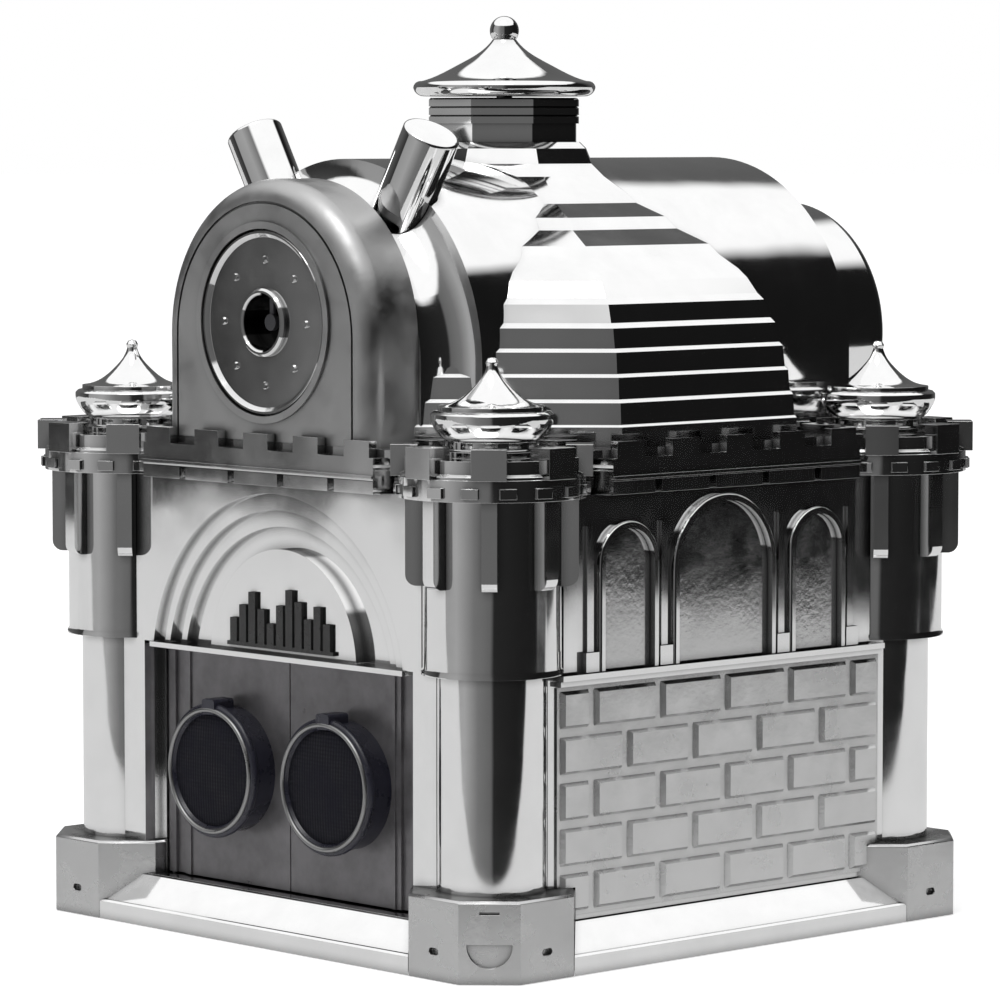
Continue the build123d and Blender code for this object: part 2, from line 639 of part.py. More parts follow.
# Ornament on the tympanum: a row of level bars in place of lettering
BAR_HEIGHTS = (9.0, 14.0, 19.0, 13.0, 8.0, 15.0, 21.0, 17.0, 11.0, 16.0, 10.0)
BAR_PITCH = 5.2
with BuildPart() as level_bars:
    with BuildSketch(FRONT.offset(TYMPANUM_FACE)):
        for index, height in enumerate(BAR_HEIGHTS):
            middle = (index - (len(BAR_HEIGHTS) - 1) / 2) * BAR_PITCH
            with Locations((middle, 108.5 + height / 2)):
                Rectangle(3.8, height)
        with Locations((0, 108.0)):
            Rectangle(len(BAR_HEIGHTS) * BAR_PITCH + 2, 1.4)
    extrude(amount=1.4)
level_bars.part.label = "level_bars"
export_step(level_bars.part, "parts/level_bars.step")

# ---------------------------------------------------------------- doors with speaker pods

DOOR_MIDDLE = (DOOR_BOTTOM + DOOR_TOP) / 2
DOOR_HEIGHT = DOOR_TOP - DOOR_BOTTOM
LEAF_INNER = 0.3
DUST_CAP = 7.0
for side, sx in {"left": -1, "right": 1}.items():
    leaf_middle = sx * (LEAF_INNER + LEAF_OUTER) / 2
    with BuildPart() as door:
        with BuildSketch(FRONT.offset(DOOR_FACE - DOOR_THICK)):
            with Locations((leaf_middle, DOOR_MIDDLE)):
                Rectangle(LEAF_OUTER - LEAF_INNER, DOOR_HEIGHT)
        extrude(amount=DOOR_THICK)
        corner = (sx * LEAF_OUTER, -DOOR_FACE, DOOR_MIDDLE)
        outer_edge = door.edges().filter_by(Axis.Z).sort_by_distance(corner)[0]
        fillet(outer_edge, radius=DOOR_FACE + HINGE_Y - 0.02)
        # hinge stile, set off by a groove, and a shallow field round the pod
        with BuildSketch(FRONT.offset(DOOR_FACE)):
            with Locations((sx * 63.2, DOOR_MIDDLE)):
                Rectangle(5.4, DOOR_HEIGHT)
        extrude(amount=-1.2, mode=Mode.SUBTRACT)
        with BuildSketch(FRONT.offset(DOOR_FACE)):
            with Locations((sx * 57.2, DOOR_MIDDLE)):
                Rectangle(1.6, DOOR_HEIGHT)
        extrude(amount=0.7)
        with BuildSketch(FRONT.offset(DOOR_FACE - DOOR_THICK)):
            with Locations((sx * POD_X, POD_Z)):
                Circle(POD_RADIUS - 2.4)
        extrude(amount=2 * DOOR_THICK, mode=Mode.SUBTRACT)
        with BuildSketch(Plane.XY.offset(DOOR_BOTTOM)):
            with Locations((sx * HINGE_X, HINGE_Y)):
                Circle(HINGE_PIN_RADIUS + RUN_CLEARANCE)
        extrude(amount=DOOR_HEIGHT, mode=Mode.SUBTRACT)
    door.part.label = f"door_{side}"
    export_step(door.part, f"parts/door_{side}.step")

    # Pod: a round cup with a heavy front rim and a hanging lug at the top
    pod_axis = Axis((sx * POD_X, 0, POD_Z), (0, 1, 0))
    pod_section = Plane(origin=(sx * POD_X, 0, POD_Z), x_dir=(1, 0, 0), z_dir=(0, 0, 1))
    with BuildPart() as pod:
        with BuildSketch(pod_section):
            with BuildLine():
                Polyline(
                    (POD_RADIUS - 2.4, -DOOR_FACE),
                    (POD_RADIUS, -DOOR_FACE),
                    (POD_RADIUS, 3.4 - POD_FACE),
                )
                ThreePointArc(
                    (POD_RADIUS, 3.4 - POD_FACE),
                    (POD_RIM_RADIUS, 1.7 - POD_FACE),
                    (POD_RADIUS - 0.2, -POD_FACE),
                )
                Line((POD_RADIUS - 0.2, -POD_FACE), (POD_RADIUS - 2.0, -POD_FACE))
                Line((POD_RADIUS - 2.0, -POD_FACE), (POD_RADIUS - 3.6, 2.6 - POD_FACE))
                Line((POD_RADIUS - 3.6, 2.6 - POD_FACE), (POD_RADIUS - 3.6, 4.6 - POD_FACE))
                Line((POD_RADIUS - 3.6, 4.6 - POD_FACE), (POD_RADIUS - 2.4, 5.8 - POD_FACE))
                Line((POD_RADIUS - 2.4, 5.8 - POD_FACE), (POD_RADIUS - 2.4, -DOOR_FACE))
            make_face()
        revolve(axis=pod_axis)
        with BuildSketch(FRONT.offset(DOOR_FACE + 3.0)):
            with Locations((sx * POD_X, POD_Z + POD_RADIUS + 0.4)):
                RectangleRounded(7.0, 5.6, 1.2)
        extrude(amount=POD_FACE + 0.6 - DOOR_FACE - 3.0)
    pod.part.label = f"speaker_pod_{side}"
    export_step(pod.part, f"parts/speaker_pod_{side}.step")

    # Driver: basket with its magnet, held in the door's hole, and the cone in front
    with BuildPart() as basket:
        with BuildSketch(pod_section):
            with BuildLine():
                Polyline(
                    (POD_RADIUS - 2.6, -DOOR_FACE),
                    (POD_RADIUS - 2.6, 1.6 - DOOR_FACE),
                    (17.0, 3.4 - DOOR_FACE),
                    (12.6, 9.0 - DOOR_FACE),
                    (12.6, 16.0 - DOOR_FACE),
                    (0, 16.0 - DOOR_FACE),
                    (0, 8.6 - DOOR_FACE),
                    (10.0, 8.6 - DOOR_FACE),
                    (16.0, 1.6 - DOOR_FACE),
                    (18.4, -DOOR_FACE),
                    close=True,
                )
            make_face()
        revolve(axis=pod_axis)
    basket.part.label = f"speaker_basket_{side}"
    export_step(basket.part, f"parts/speaker_basket_{side}.step")

    cap_middle = crown_middle(DUST_CAP, 2.9)
    with BuildPart() as cone:
        with BuildSketch(pod_section):
            with BuildLine():
                Line((POD_RADIUS - 2.6, -DOOR_FACE), (POD_RADIUS - 2.6, -DOOR_FACE - 0.8))
                Line((POD_RADIUS - 2.6, -DOOR_FACE - 0.8), (19.6, -DOOR_FACE - 0.8))
                ThreePointArc((19.6, -DOOR_FACE - 0.8), (17.6, -DOOR_FACE - 2.4), (15.6, -DOOR_FACE - 0.8))
                Line((15.6, -DOOR_FACE - 0.8), (DUST_CAP, 4.4 - DOOR_FACE))
                ThreePointArc(
                    (DUST_CAP, 4.4 - DOOR_FACE),
                    (cap_middle[0], 4.4 - DOOR_FACE - cap_middle[1]),
                    (0, 1.5 - DOOR_FACE),
                )
                Line((0, 1.5 - DOOR_FACE), (0, 6.4 - DOOR_FACE))
                Line((0, 6.4 - DOOR_FACE), (9.0, 6.4 - DOOR_FACE))
                Line((9.0, 6.4 - DOOR_FACE), (15.2, -DOOR_FACE))
                Line((15.2, -DOOR_FACE), (POD_RADIUS - 2.6, -DOOR_FACE))
            make_face()
        revolve(axis=pod_axis)
    cone.part.label = f"speaker_cone_{side}"
    export_step(cone.part, f"parts/speaker_cone_{side}.step")

# Hinge pins, one long steel pin for each leaf
with BuildPart() as door_hinge_pins:
    with BuildSketch(Plane.XY.offset(12.0)):
        with Locations((-HINGE_X, HINGE_Y), (HINGE_X, HINGE_Y)):
            Circle(HINGE_PIN_RADIUS)
    extrude(amount=DOOR_TOP - 12.0 + 6.4)
door_hinge_pins.part.label = "door_hinge_pins"
export_step(door_hinge_pins.part, "parts/door_hinge_pins.step")

# ---------------------------------------------------------------- parapet and deck

# Parapet: four bars between the capitals, with dentils below and merlons above
MERLON_XS = [MERLON_PITCH * index for index in range(-2, 3)]
with BuildPart() as parapet:
    for face in (FRONT, RIGHT, REAR, LEFT):
        with BuildSketch(face.offset(PARAPET_INNER)):
            with Locations((0, (WALL_TOP + DECK_BOTTOM) / 2)):
                Rectangle(2 * PARAPET_HALF, DECK_BOTTOM - WALL_TOP)
        extrude(amount=PARAPET_FACE - PARAPET_INNER - 3.4)
        with BuildSketch(face.offset(PARAPET_INNER)):
            with Locations((0, 177.0)):
                Rectangle(2 * PARAPET_HALF, 8.0)
            with Locations(*[(x, 170.5) for x in MERLON_XS]):
                Rectangle(DENTIL_LENGTH, 4.6)
            with Locations((0, 190)):
                Rectangle(4 * PARAPET_HALF, 18, mode=Mode.SUBTRACT)
            for end in (-1, 1):
                with Locations((end * (PARAPET_HALF + 20), 175)):
                    Rectangle(40, 30, mode=Mode.SUBTRACT)
        extrude(amount=PARAPET_FACE - PARAPET_INNER)
        with BuildSketch(face.offset(PARAPET_FACE - MERLON_THICK)):
            with Locations(*[(x, (DECK_BOTTOM + PARAPET_TOP) / 2 - 0.5) for x in MERLON_XS]):
                Rectangle(MERLON_WIDTH, PARAPET_TOP - DECK_BOTTOM + 1.0)
        extrude(amount=MERLON_THICK)
        with BuildSketch(face.offset(PARAPET_FACE)):
            with Locations((0, 174.2)):
                Rectangle(2 * PARAPET_HALF, 1.2)
        extrude(amount=0.9)
parapet.part.label = "parapet"
export_step(parapet.part, "parts/parapet.step")

# Roof deck: flat square ring on the parapet with a low octagonal kerb for the dome
with BuildPart() as roof_deck:
    deck_half = PARAPET_FACE - MERLON_THICK - CLEAR
    with BuildSketch(Plane.XY.offset(DECK_BOTTOM)):
        Rectangle(2 * deck_half, 2 * deck_half)
        octagon(DOME_TIERS[0][1] - 16)
        with BuildSketch(mode=Mode.SUBTRACT):
            octagon(DOME_TIERS[0][1] - 16)
    extrude(amount=DECK_TOP - DECK_BOTTOM)
    with BuildSketch(Plane.XY.offset(DECK_TOP)):
        octagon(DOME_TIERS[0][1])
        with BuildSketch(mode=Mode.SUBTRACT):
            octagon(DOME_TIERS[0][1] - 16)
        with Locations((0, -100)):
            Rectangle(2 * (VAULT_RADIUS + CLEAR), 100, mode=Mode.SUBTRACT)
        with Locations((0, 100)):
            Rectangle(2 * (VAULT_RADIUS + CLEAR), 100, mode=Mode.SUBTRACT)
    extrude(amount=DOME_TIERS[0][0] - DECK_TOP)
    with BuildSketch(Plane.XY.offset(DECK_BOTTOM - 1)):
        with Locations(*CORNER_POINTS):
            Circle(CAPITAL_REACH + 0.6)
    extrude(amount=10, mode=Mode.SUBTRACT)
roof_deck.part.label = "roof_deck"
export_step(roof_deck.part, "parts/roof_deck.step")

# ---------------------------------------------------------------- barrel vault, bezel and drum

VAULT_AXIS = Axis((0, 0, VAULT_CENTRE), (0, 1, 0))


def vault_plan(inset, rear):
    """Half plan of the vault with its concave cove at the front, as a filled sketch at the axis height."""
    start = COVE_START_RADIUS - inset
    full = VAULT_RADIUS - inset
    depth = COVE_END - BEZEL_BACK
    middle = math.radians(45)
    with BuildSketch(Plane.XY.offset(VAULT_CENTRE)) as plan:
        with BuildLine():
            Line((0, BEZEL_BACK), (start, BEZEL_BACK))
            ThreePointArc(
                (start, BEZEL_BACK),
                (
                    start + (full - start) * (1 - math.cos(middle)),
                    BEZEL_BACK + depth * math.sin(middle),
                ),
                (full, COVE_END + (inset if inset else 0)),
            )
            Line((full, COVE_END + (inset if inset else 0)), (full, rear))
            Line((full, rear), (0, rear))
            Line((0, rear), (0, BEZEL_BACK))
        make_face()
    return plan.sketch


def vault_solid(inset, rear):
    """Vault shape: a half-round of the plan about the vault's axis, on straight legs down to the deck."""
    plan = vault_plan(inset, rear)
    with BuildPart() as body:
        revolve(plan, axis=VAULT_AXIS)
        split(bisect_by=Plane.XY.offset(VAULT_CENTRE), keep=Keep.TOP)
        for half_plan in (plan, plan.mirror(Plane.YZ)):
            extrude(half_plan, amount=VAULT_CENTRE - DECK_TOP, dir=(0, 0, -1))
    return body.part


def bezel_outline(inset, bottom):
    """Outline of the gable bezel: straight sides under a half-round."""
    half = BEZEL_HALF - inset
    arch_outline(half, bottom, BEZEL_CENTRE + half)


VAULT_ENVELOPE = vault_solid(0.0, VAULT_REAR)
BUTTON_GUIDE_BORE = BUTTON_RADIUS + 0.3
BUTTON_GUIDE_BOTTOM = 46.0


def button_plane(side_sign, distance):
    """Plane across a button's axis, at a distance from the vault's axis."""
    lean = math.radians(BUTTON_ANGLE) * side_sign
    outward = Vector(math.sin(lean), 0, math.cos(lean))
    origin = Vector(0, BUTTON_Y, VAULT_CENTRE) + outward * distance
    return Plane(origin=origin, x_dir=(0, 1, 0), z_dir=outward)


# Vault shell, closed at the rear round the drum, with a guide tube for each button
with BuildPart() as vault:
    add(VAULT_ENVELOPE)
    add(vault_solid(SHELL, VAULT_REAR - SHELL), mode=Mode.SUBTRACT)
    for side_sign in (-1, 1):
        with BuildPart(mode=Mode.PRIVATE) as guide:
            with BuildSketch(button_plane(side_sign, BUTTON_GUIDE_BOTTOM)):
                Circle(BUTTON_GUIDE_BORE + 1.8)
            extrude(amount=40)
            add(VAULT_ENVELOPE, mode=Mode.INTERSECT)
        add(guide.part)
        with BuildSketch(button_plane(side_sign, BUTTON_GUIDE_BOTTOM)):
            Circle(BUTTON_GUIDE_BORE)
        extrude(amount=60, mode=Mode.SUBTRACT)
    with BuildSketch(REAR.offset(VAULT_REAR - 10)):
        with Locations((0, DRUM_CENTRE)):
            Circle(WOOFER_RADIUS)
    extrude(amount=20, mode=Mode.SUBTRACT)
    with BuildSketch(Plane.XY.offset(DECK_TOP)):
        with Locations(*CORNER_POINTS):
            Circle(CAPITAL_REACH + 0.6)
    extrude(amount=PARAPET_TOP + 0.5 - DECK_TOP, mode=Mode.SUBTRACT)
vault.part.label = "vault"
export_step(vault.part, "parts/vault.step")

# Gable bezel: thick front slab with a wide rounded shoulder, a groove round its flat face,
# a raised dial rim and a round window for the dial
DIAL_HOLE = DIAL_RADIUS + 0.5
BEZEL_SHOULDER = 8.0
BEZEL_GROOVE = 1.0
with BuildPart() as gable_bezel:
    with BuildSketch(FRONT.offset(-BEZEL_BACK)):
        bezel_outline(0.0, DECK_TOP)
    extrude(amount=BEZEL_BACK - BEZEL_FRONT)
    shoulder = gable_bezel.faces().sort_by(Axis.Y)[0].edges().filter_by(Axis.X, reverse=True)
    fillet(shoulder, radius=BEZEL_SHOULDER)
    with BuildSketch(FRONT.offset(-BEZEL_FRONT)):
        bezel_outline(BEZEL_SHOULDER, DECK_TOP)
    extrude(amount=-BEZEL_GROOVE, mode=Mode.SUBTRACT)
    with BuildSketch(FRONT.offset(-BEZEL_FRONT - BEZEL_GROOVE)):
        bezel_outline(BEZEL_SHOULDER + BEZEL_GROOVE, DECK_TOP)
    extrude(amount=BEZEL_GROOVE)
    with BuildSketch(FRONT.offset(-BEZEL_FRONT)):
        with Locations((0, DIAL_CENTRE)):
            Circle(DIAL_HOLE + 2.6)
    extrude(amount=1.0)
    with BuildSketch(FRONT.offset(-BEZEL_BACK)):
        bezel_outline(SHELL, DECK_TOP)
    extrude(amount=BEZEL_BACK - BEZEL_FRONT - 4.0, mode=Mode.SUBTRACT)
    with BuildSketch(FRONT.offset(-BEZEL_BACK)):
        with Locations((0, DIAL_CENTRE)):
            Circle(DIAL_HOLE)
    extrude(amount=40, mode=Mode.SUBTRACT)
gable_bezel.part.label = "gable_bezel"
export_step(gable_bezel.part, "parts/gable_bezel.step")

# Rear drum: round can with a flat underside and a perforated end for the bass driver
drum_section = Plane(origin=(0, 0, DRUM_CENTRE), x_dir=(1, 0, 0), z_dir=(0, 0, 1))
DRUM_AXIS = Axis((0, 0, DRUM_CENTRE), (0, 1, 0))
DRUM_END = DRUM_REAR - 2.5   # recessed end face
with BuildPart() as rear_drum:
    with BuildSketch(drum_section):
        with BuildLine():
            Polyline((0, VAULT_REAR), (DRUM_RADIUS, VAULT_REAR), (DRUM_RADIUS, DRUM_REAR - 6))
            RadiusArc((DRUM_RADIUS, DRUM_REAR - 6), (DRUM_RADIUS - 6, DRUM_REAR), -6)
            Polyline(
                (DRUM_RADIUS - 6, DRUM_REAR),
                (DRUM_RADIUS - 9, DRUM_REAR),
                (DRUM_RADIUS - 11, DRUM_END),
                (0, DRUM_END),
                (0, VAULT_REAR),
            )
        make_face()
    revolve(axis=DRUM_AXIS)
    split(bisect_by=Plane.XY.offset(DRUM_BOTTOM), keep=Keep.TOP)
    with BuildSketch(REAR.offset(VAULT_REAR)):
        with Locations((0, DRUM_CENTRE)):
            Circle(DRUM_RADIUS - SHELL)
        with Locations((0, DRUM_BOTTOM + SHELL - 50)):
            Rectangle(200, 100, mode=Mode.SUBTRACT)
    extrude(amount=DRUM_END - 2.5 - VAULT_REAR, mode=Mode.SUBTRACT)
    with BuildSketch(REAR.offset(DRUM_REAR - 8)):
        with Locations((0, DRUM_CENTRE)):
            for ring in range(1, 6):
                with PolarLocations(4.6 * ring, 6 * ring):
                    Circle(1.3)
    extrude(amount=10, mode=Mode.SUBTRACT)
rear_drum.part.label = "rear_drum"
export_step(rear_drum.part, "parts/rear_drum.step")

# Bass driver in the drum: basket with magnet, and cone with its surround
WOOFER_MAGNET = 16.0
with BuildPart() as woofer_basket:
    with BuildSketch(drum_section):
        with BuildLine():
            Polyline(
                (WOOFER_RADIUS, DRUM_END - 3.8),
                (WOOFER_RADIUS, DRUM_END - 5.8),
                (WOOFER_RADIUS - 4, DRUM_END - 7.0),
                (WOOFER_MAGNET, DRUM_END - 18.0),
                (WOOFER_MAGNET, DRUM_END - 28.0),
                (0, DRUM_END - 28.0),
                (0, DRUM_END - 17.0),
                (WOOFER_MAGNET - 4, DRUM_END - 17.0),
                (WOOFER_RADIUS - 4.6, DRUM_END - 3.8),
                close=True,
            )
        make_face()
    revolve(axis=DRUM_AXIS)
woofer_basket.part.label = "woofer_basket"
export_step(woofer_basket.part, "parts/woofer_basket.step")

with BuildPart() as woofer_cone:
    cap_half = 8.0
    cap_rise = 2.6
    cap_middle = crown_middle(cap_half, cap_rise)
    cap_foot = DRUM_END - 12.0
    with BuildSketch(drum_section):
        with BuildLine():
            Polyline(
                (WOOFER_RADIUS, DRUM_END - 3.8),
                (WOOFER_RADIUS, DRUM_END - 2.8),
                (WOOFER_RADIUS - 6, DRUM_END - 2.8),
                (cap_half, cap_foot),
            )
            ThreePointArc(
                (cap_half, cap_foot),
                (cap_middle[0], cap_foot + cap_middle[1]),
                (0, cap_foot + cap_rise),
            )
            Polyline(
                (0, cap_foot + cap_rise),
                (0, DRUM_END - 14.0),
                (cap_half + 1.2, DRUM_END - 14.0),
                (WOOFER_RADIUS - 5, DRUM_END - 3.8),
                (WOOFER_RADIUS, DRUM_END - 3.8),
            )
        make_face()
    revolve(axis=DRUM_AXIS)
woofer_cone.part.label = "woofer_cone"
export_step(woofer_cone.part, "parts/woofer_cone.step")

# ---------------------------------------------------------------- tuning dial

dial_section = Plane(origin=(0, 0, DIAL_CENTRE), x_dir=(1, 0, 0), z_dir=(0, 0, 1))
DIAL_AXIS = Axis((0, 0, DIAL_CENTRE), (0, 1, 0))
RIM_FRONT = BEZEL_FRONT - 0.6
WELL_DEPTH = 4.6
HUB_OUTER = 12.4
HUB_BORE = 10.0
FACE_DEPTH = 1.4             # dial face behind its rim

# Flat-faced dial with a raised rim, eight pips, a hub ring round a well and a boss on the shaft
with BuildPart() as tuning_dial:
    with BuildSketch(dial_section):
        with BuildLine():
            Polyline(
                (DIAL_SHAFT_RADIUS, RIM_FRONT + WELL_DEPTH + 1.4),
                (HUB_BORE, RIM_FRONT + WELL_DEPTH + 1.4),
                (HUB_BORE, RIM_FRONT),
                (HUB_BORE + 0.8, RIM_FRONT - 0.8),
                (HUB_OUTER - 0.8, RIM_FRONT - 0.8),
                (HUB_OUTER, RIM_FRONT),
                (HUB_OUTER, RIM_FRONT + FACE_DEPTH),
                (DIAL_RADIUS - 2.6, RIM_FRONT + FACE_DEPTH),
                (DIAL_RADIUS - 1.2, RIM_FRONT),
                (DIAL_RADIUS - 0.5, RIM_FRONT),
                (DIAL_RADIUS, RIM_FRONT + 0.5),
                (DIAL_RADIUS, RIM_FRONT + 2.6),
                (HUB_OUTER, RIM_FRONT + WELL_DEPTH + 3.0),
                (6.5, RIM_FRONT + WELL_DEPTH + 3.0),
                (6.5, RIM_FRONT + WELL_DEPTH + 9.0),
                (DIAL_SHAFT_RADIUS, RIM_FRONT + WELL_DEPTH + 9.0),
                close=True,
            )
        make_face()
    revolve(axis=DIAL_AXIS)
    for index in range(8):
        turn = math.radians(45 * index)
        x = PIP_CIRCLE * math.cos(turn)
        z = DIAL_CENTRE + PIP_CIRCLE * math.sin(turn)
        with BuildSketch(Plane(origin=(x, RIM_FRONT + FACE_DEPTH, z), x_dir=(1, 0, 0), z_dir=(0, -1, 0))):
            Circle(1.5)
        extrude(amount=0.9, taper=20)
tuning_dial.part.label = "tuning_dial"
export_step(tuning_dial.part, "parts/tuning_dial.step")

# Steel dial shaft with a short pointer bar in the hub's well
BRACKET_FRONT = -104.0
TUNER_REAR = -78.0
with BuildPart() as dial_shaft:
    with BuildSketch(FRONT.offset(-(RIM_FRONT + WELL_DEPTH - 0.6))):
        with Locations((0, DIAL_CENTRE)):
            Circle(DIAL_SHAFT_RADIUS)
    extrude(amount=-(TUNER_REAR + 2.0 - RIM_FRONT - WELL_DEPTH + 0.6))
    with BuildSketch(FRONT.offset(-(RIM_FRONT + WELL_DEPTH + 1.4 - 0.1))):
        with Locations((0, DIAL_CENTRE + 5.6)):
            Rectangle(2.0, 6.4)
    extrude(amount=1.2)
dial_shaft.part.label = "dial_shaft"
export_step(dial_shaft.part, "parts/dial_shaft.step")

# Tuner bracket standing on the deck, with the variable capacitor on its rear face
with BuildPart() as tuner_bracket:
    with BuildSketch(FRONT.offset(-BRACKET_FRONT)):
        with Locations((0, (DECK_TOP + DIAL_CENTRE + 14) / 2)):
            RectangleRounded(30, DIAL_CENTRE + 14 - DECK_TOP, 3)
        with Locations((0, DIAL_CENTRE)):
            Circle(DIAL_SHAFT_RADIUS + RUN_CLEARANCE, mode=Mode.SUBTRACT)
    extrude(amount=-2.0)
    with BuildSketch(Plane.XY.offset(DECK_TOP)):
        with Locations((0, BRACKET_FRONT + 6)):
            Rectangle(30, 12)
    extrude(amount=2.0)
tuner_bracket.part.label = "tuner_bracket"
export_step(tuner_bracket.part, "parts/tuner_bracket.step")

with BuildPart() as tuning_capacitor:
    with BuildSketch(FRONT.offset(-(BRACKET_FRONT + 2.0))):
        with Locations((0, DIAL_CENTRE)):
            RectangleRounded(24, 24, 2)
            Circle(DIAL_SHAFT_RADIUS + RUN_CLEARANCE, mode=Mode.SUBTRACT)
    extrude(amount=-(TUNER_REAR + 1.0 - BRACKET_FRONT))
    with BuildSketch(FRONT.offset(-(TUNER_REAR + 3.0))):
        with Locations((0, DIAL_CENTRE)):
            RectangleRounded(24, 24, 2)
    extrude(amount=-1.5)
tuning_capacitor.part.label = "tuning_capacitor"
export_step(tuning_capacitor.part, "parts/tuning_capacitor.step")

# ---------------------------------------------------------------- push buttons

SWITCH_FACE = BUTTON_GUIDE_BOTTOM + 2.0
BUTTON_TRAVEL = 3.0
BUTTON_BOTTOM = 60.0
STEM_BOTTOM = SWITCH_FACE + 0.6 + BUTTON_TRAVEL
SPRING_RADIUS = 6.0
SPRING_WIRE = 0.5
for side, side_sign in {"left": -1, "right": 1}.items():
    # Hollow button with a rounded face and a stem that reaches its switch
    with BuildPart() as button:
        with BuildSketch(button_plane(side_sign, BUTTON_BOTTOM)):
            Circle(BUTTON_RADIUS)
        extrude(amount=BUTTON_TOP - BUTTON_BOTTOM)
        fillet(button.edges().filter_by(GeomType.CIRCLE).sort_by(Axis.Z)[-1], radius=1.2)
        with BuildSketch(button_plane(side_sign, BUTTON_BOTTOM)):
            Circle(BUTTON_RADIUS - 2.2)
        extrude(amount=BUTTON_TOP - BUTTON_BOTTOM - 3.0, mode=Mode.SUBTRACT)
        with BuildSketch(button_plane(side_sign, STEM_BOTTOM)):
            Circle(2.2)
        extrude(amount=BUTTON_TOP - STEM_BOTTOM - 2.0)
    button.part.label = f"button_{side}"
    export_step(button.part, f"parts/button_{side}.step")

    # Return spring round the stem
    spring_base = button_plane(side_sign, SWITCH_FACE + SPRING_WIRE + 0.1)
    spring_length = BUTTON_TOP - 3.0 - SWITCH_FACE - 2 * SPRING_WIRE - 0.2
    with BuildPart() as spring:
        with BuildLine() as coil:
            Helix(
                pitch=spring_length / 7,
                height=spring_length,
                radius=SPRING_RADIUS,
                center=spring_base.origin,
                direction=spring_base.z_dir,
            )
        with BuildSketch(Plane(origin=coil.line @ 0, z_dir=coil.line % 0)):
            Circle(SPRING_WIRE)
        sweep(is_frenet=True)
    spring.part.label = f"button_spring_{side}"
    export_step(spring.part, f"parts/button_spring_{side}.step")

# Switch plates closing the guides' inner ends, each with its tact switch
with BuildPart() as button_switches:
    for side_sign in (-1, 1):
        with BuildSketch(button_plane(side_sign, BUTTON_GUIDE_BOTTOM - 1.6)):
            Circle(BUTTON_GUIDE_BORE + 1.8)
        extrude(amount=1.6)
        with BuildSketch(button_plane(side_sign, BUTTON_GUIDE_BOTTOM)):
            Rectangle(6.0, 6.0)
        extrude(amount=SWITCH_FACE - BUTTON_GUIDE_BOTTOM)
        with BuildSketch(button_plane(side_sign, SWITCH_FACE)):
            Circle(1.7)
        extrude(amount=0.6)
button_switches.part.label = "button_switches"
export_step(button_switches.part, "parts/button_switches.step")

# ---------------------------------------------------------------- dome, lantern and volume cap


def tier_stack(inset, count):
    """Stack of octagonal tiers, each a steep face with a 45 degree shoulder up to the next one's foot."""
    with BuildPart() as stack:
        for (low, half), (high, next_half) in zip(DOME_TIERS[:count], DOME_TIERS[1:count + 1]):
            step = half - next_half
            shoulder = min(0.4 * step + 0.5, 0.45 * (high - low))
            face_height = high - low - shoulder
            with BuildSketch(Plane.XY.offset(low)) as foot:
                octagon(half - inset)
            lean = math.degrees(math.atan((step - shoulder) / face_height))
            extrude(foot.sketch, amount=face_height, taper=lean)
            with BuildSketch(Plane.XY.offset(low + face_height)) as ledge:
                octagon(next_half + shoulder - inset)
            extrude(ledge.sketch, amount=shoulder, taper=45)
    return stack.part


# Dome of stepped octagonal tiers, open where the vault and the bezel pass through it
DOME_OUTSIDE = tier_stack(0.0, len(DOME_TIERS) - 1)
DOME_INSIDE = tier_stack(DOME_SHELL, len(DOME_TIERS) - 2)
with BuildPart() as dome:
    add(DOME_OUTSIDE)
    add(DOME_INSIDE, mode=Mode.SUBTRACT)
    add(VAULT_ENVELOPE, mode=Mode.SUBTRACT)
    with BuildSketch(FRONT.offset(-BEZEL_BACK)):
        bezel_outline(0.0, DECK_TOP)
    extrude(amount=40, mode=Mode.SUBTRACT)
    with BuildSketch(Plane.XY.offset(DECK_TOP)):
        with Locations(*CORNER_POINTS):
            Circle(CAPITAL_REACH + 0.6)
    extrude(amount=PARAPET_TOP + 0.5 - DECK_TOP, mode=Mode.SUBTRACT)
    with BuildSketch(Plane.XY.offset(250)):
        Circle(4.0)
    extrude(amount=60, mode=Mode.SUBTRACT)
    for loose_chip in dome.solids().sort_by(SortBy.VOLUME)[:-1]:
        add(loose_chip, mode=Mode.SUBTRACT)
dome.part.label = "dome"
export_step(dome.part, "parts/dome.step")

# Lantern under the cap: a plain octagonal tier with a ribbed one on it
LANTERN_RIBS = 3
RIB_EDGE = 0.7
with BuildPart() as lantern:
    with BuildSketch(Plane.XY.offset(LANTERN_BOTTOM)):
        octagon(LANTERN_HALF)
    extrude(amount=LANTERN_SPLIT - LANTERN_BOTTOM)
    rib_height = (LANTERN_TOP - LANTERN_SPLIT) / LANTERN_RIBS
    for rib in range(LANTERN_RIBS):
        with BuildSketch(Plane.XY.offset(LANTERN_SPLIT + rib * rib_height)):
            octagon(LANTERN_TOP_HALF - RIB_EDGE)
        extrude(amount=rib_height)
        with BuildSketch(Plane.XY.offset(LANTERN_SPLIT + rib * rib_height)):
            octagon(LANTERN_TOP_HALF)
        extrude(amount=rib_height - RIB_EDGE)
        with BuildSketch(Plane.XY.offset(LANTERN_SPLIT + (rib + 1) * rib_height - RIB_EDGE)):
            octagon(LANTERN_TOP_HALF)
        extrude(amount=RIB_EDGE, taper=45)
    with BuildSketch(Plane.XY.offset(LANTERN_BOTTOM)):
        octagon(LANTERN_HALF - 3)
    extrude(amount=LANTERN_TOP - LANTERN_BOTTOM - 4, mode=Mode.SUBTRACT)
    with BuildSketch(Plane.XY.offset(LANTERN_BOTTOM)):
        Circle(4.6)
    extrude(amount=40, mode=Mode.SUBTRACT)
lantern.part.label = "lantern"
export_step(lantern.part, "parts/lantern.step")

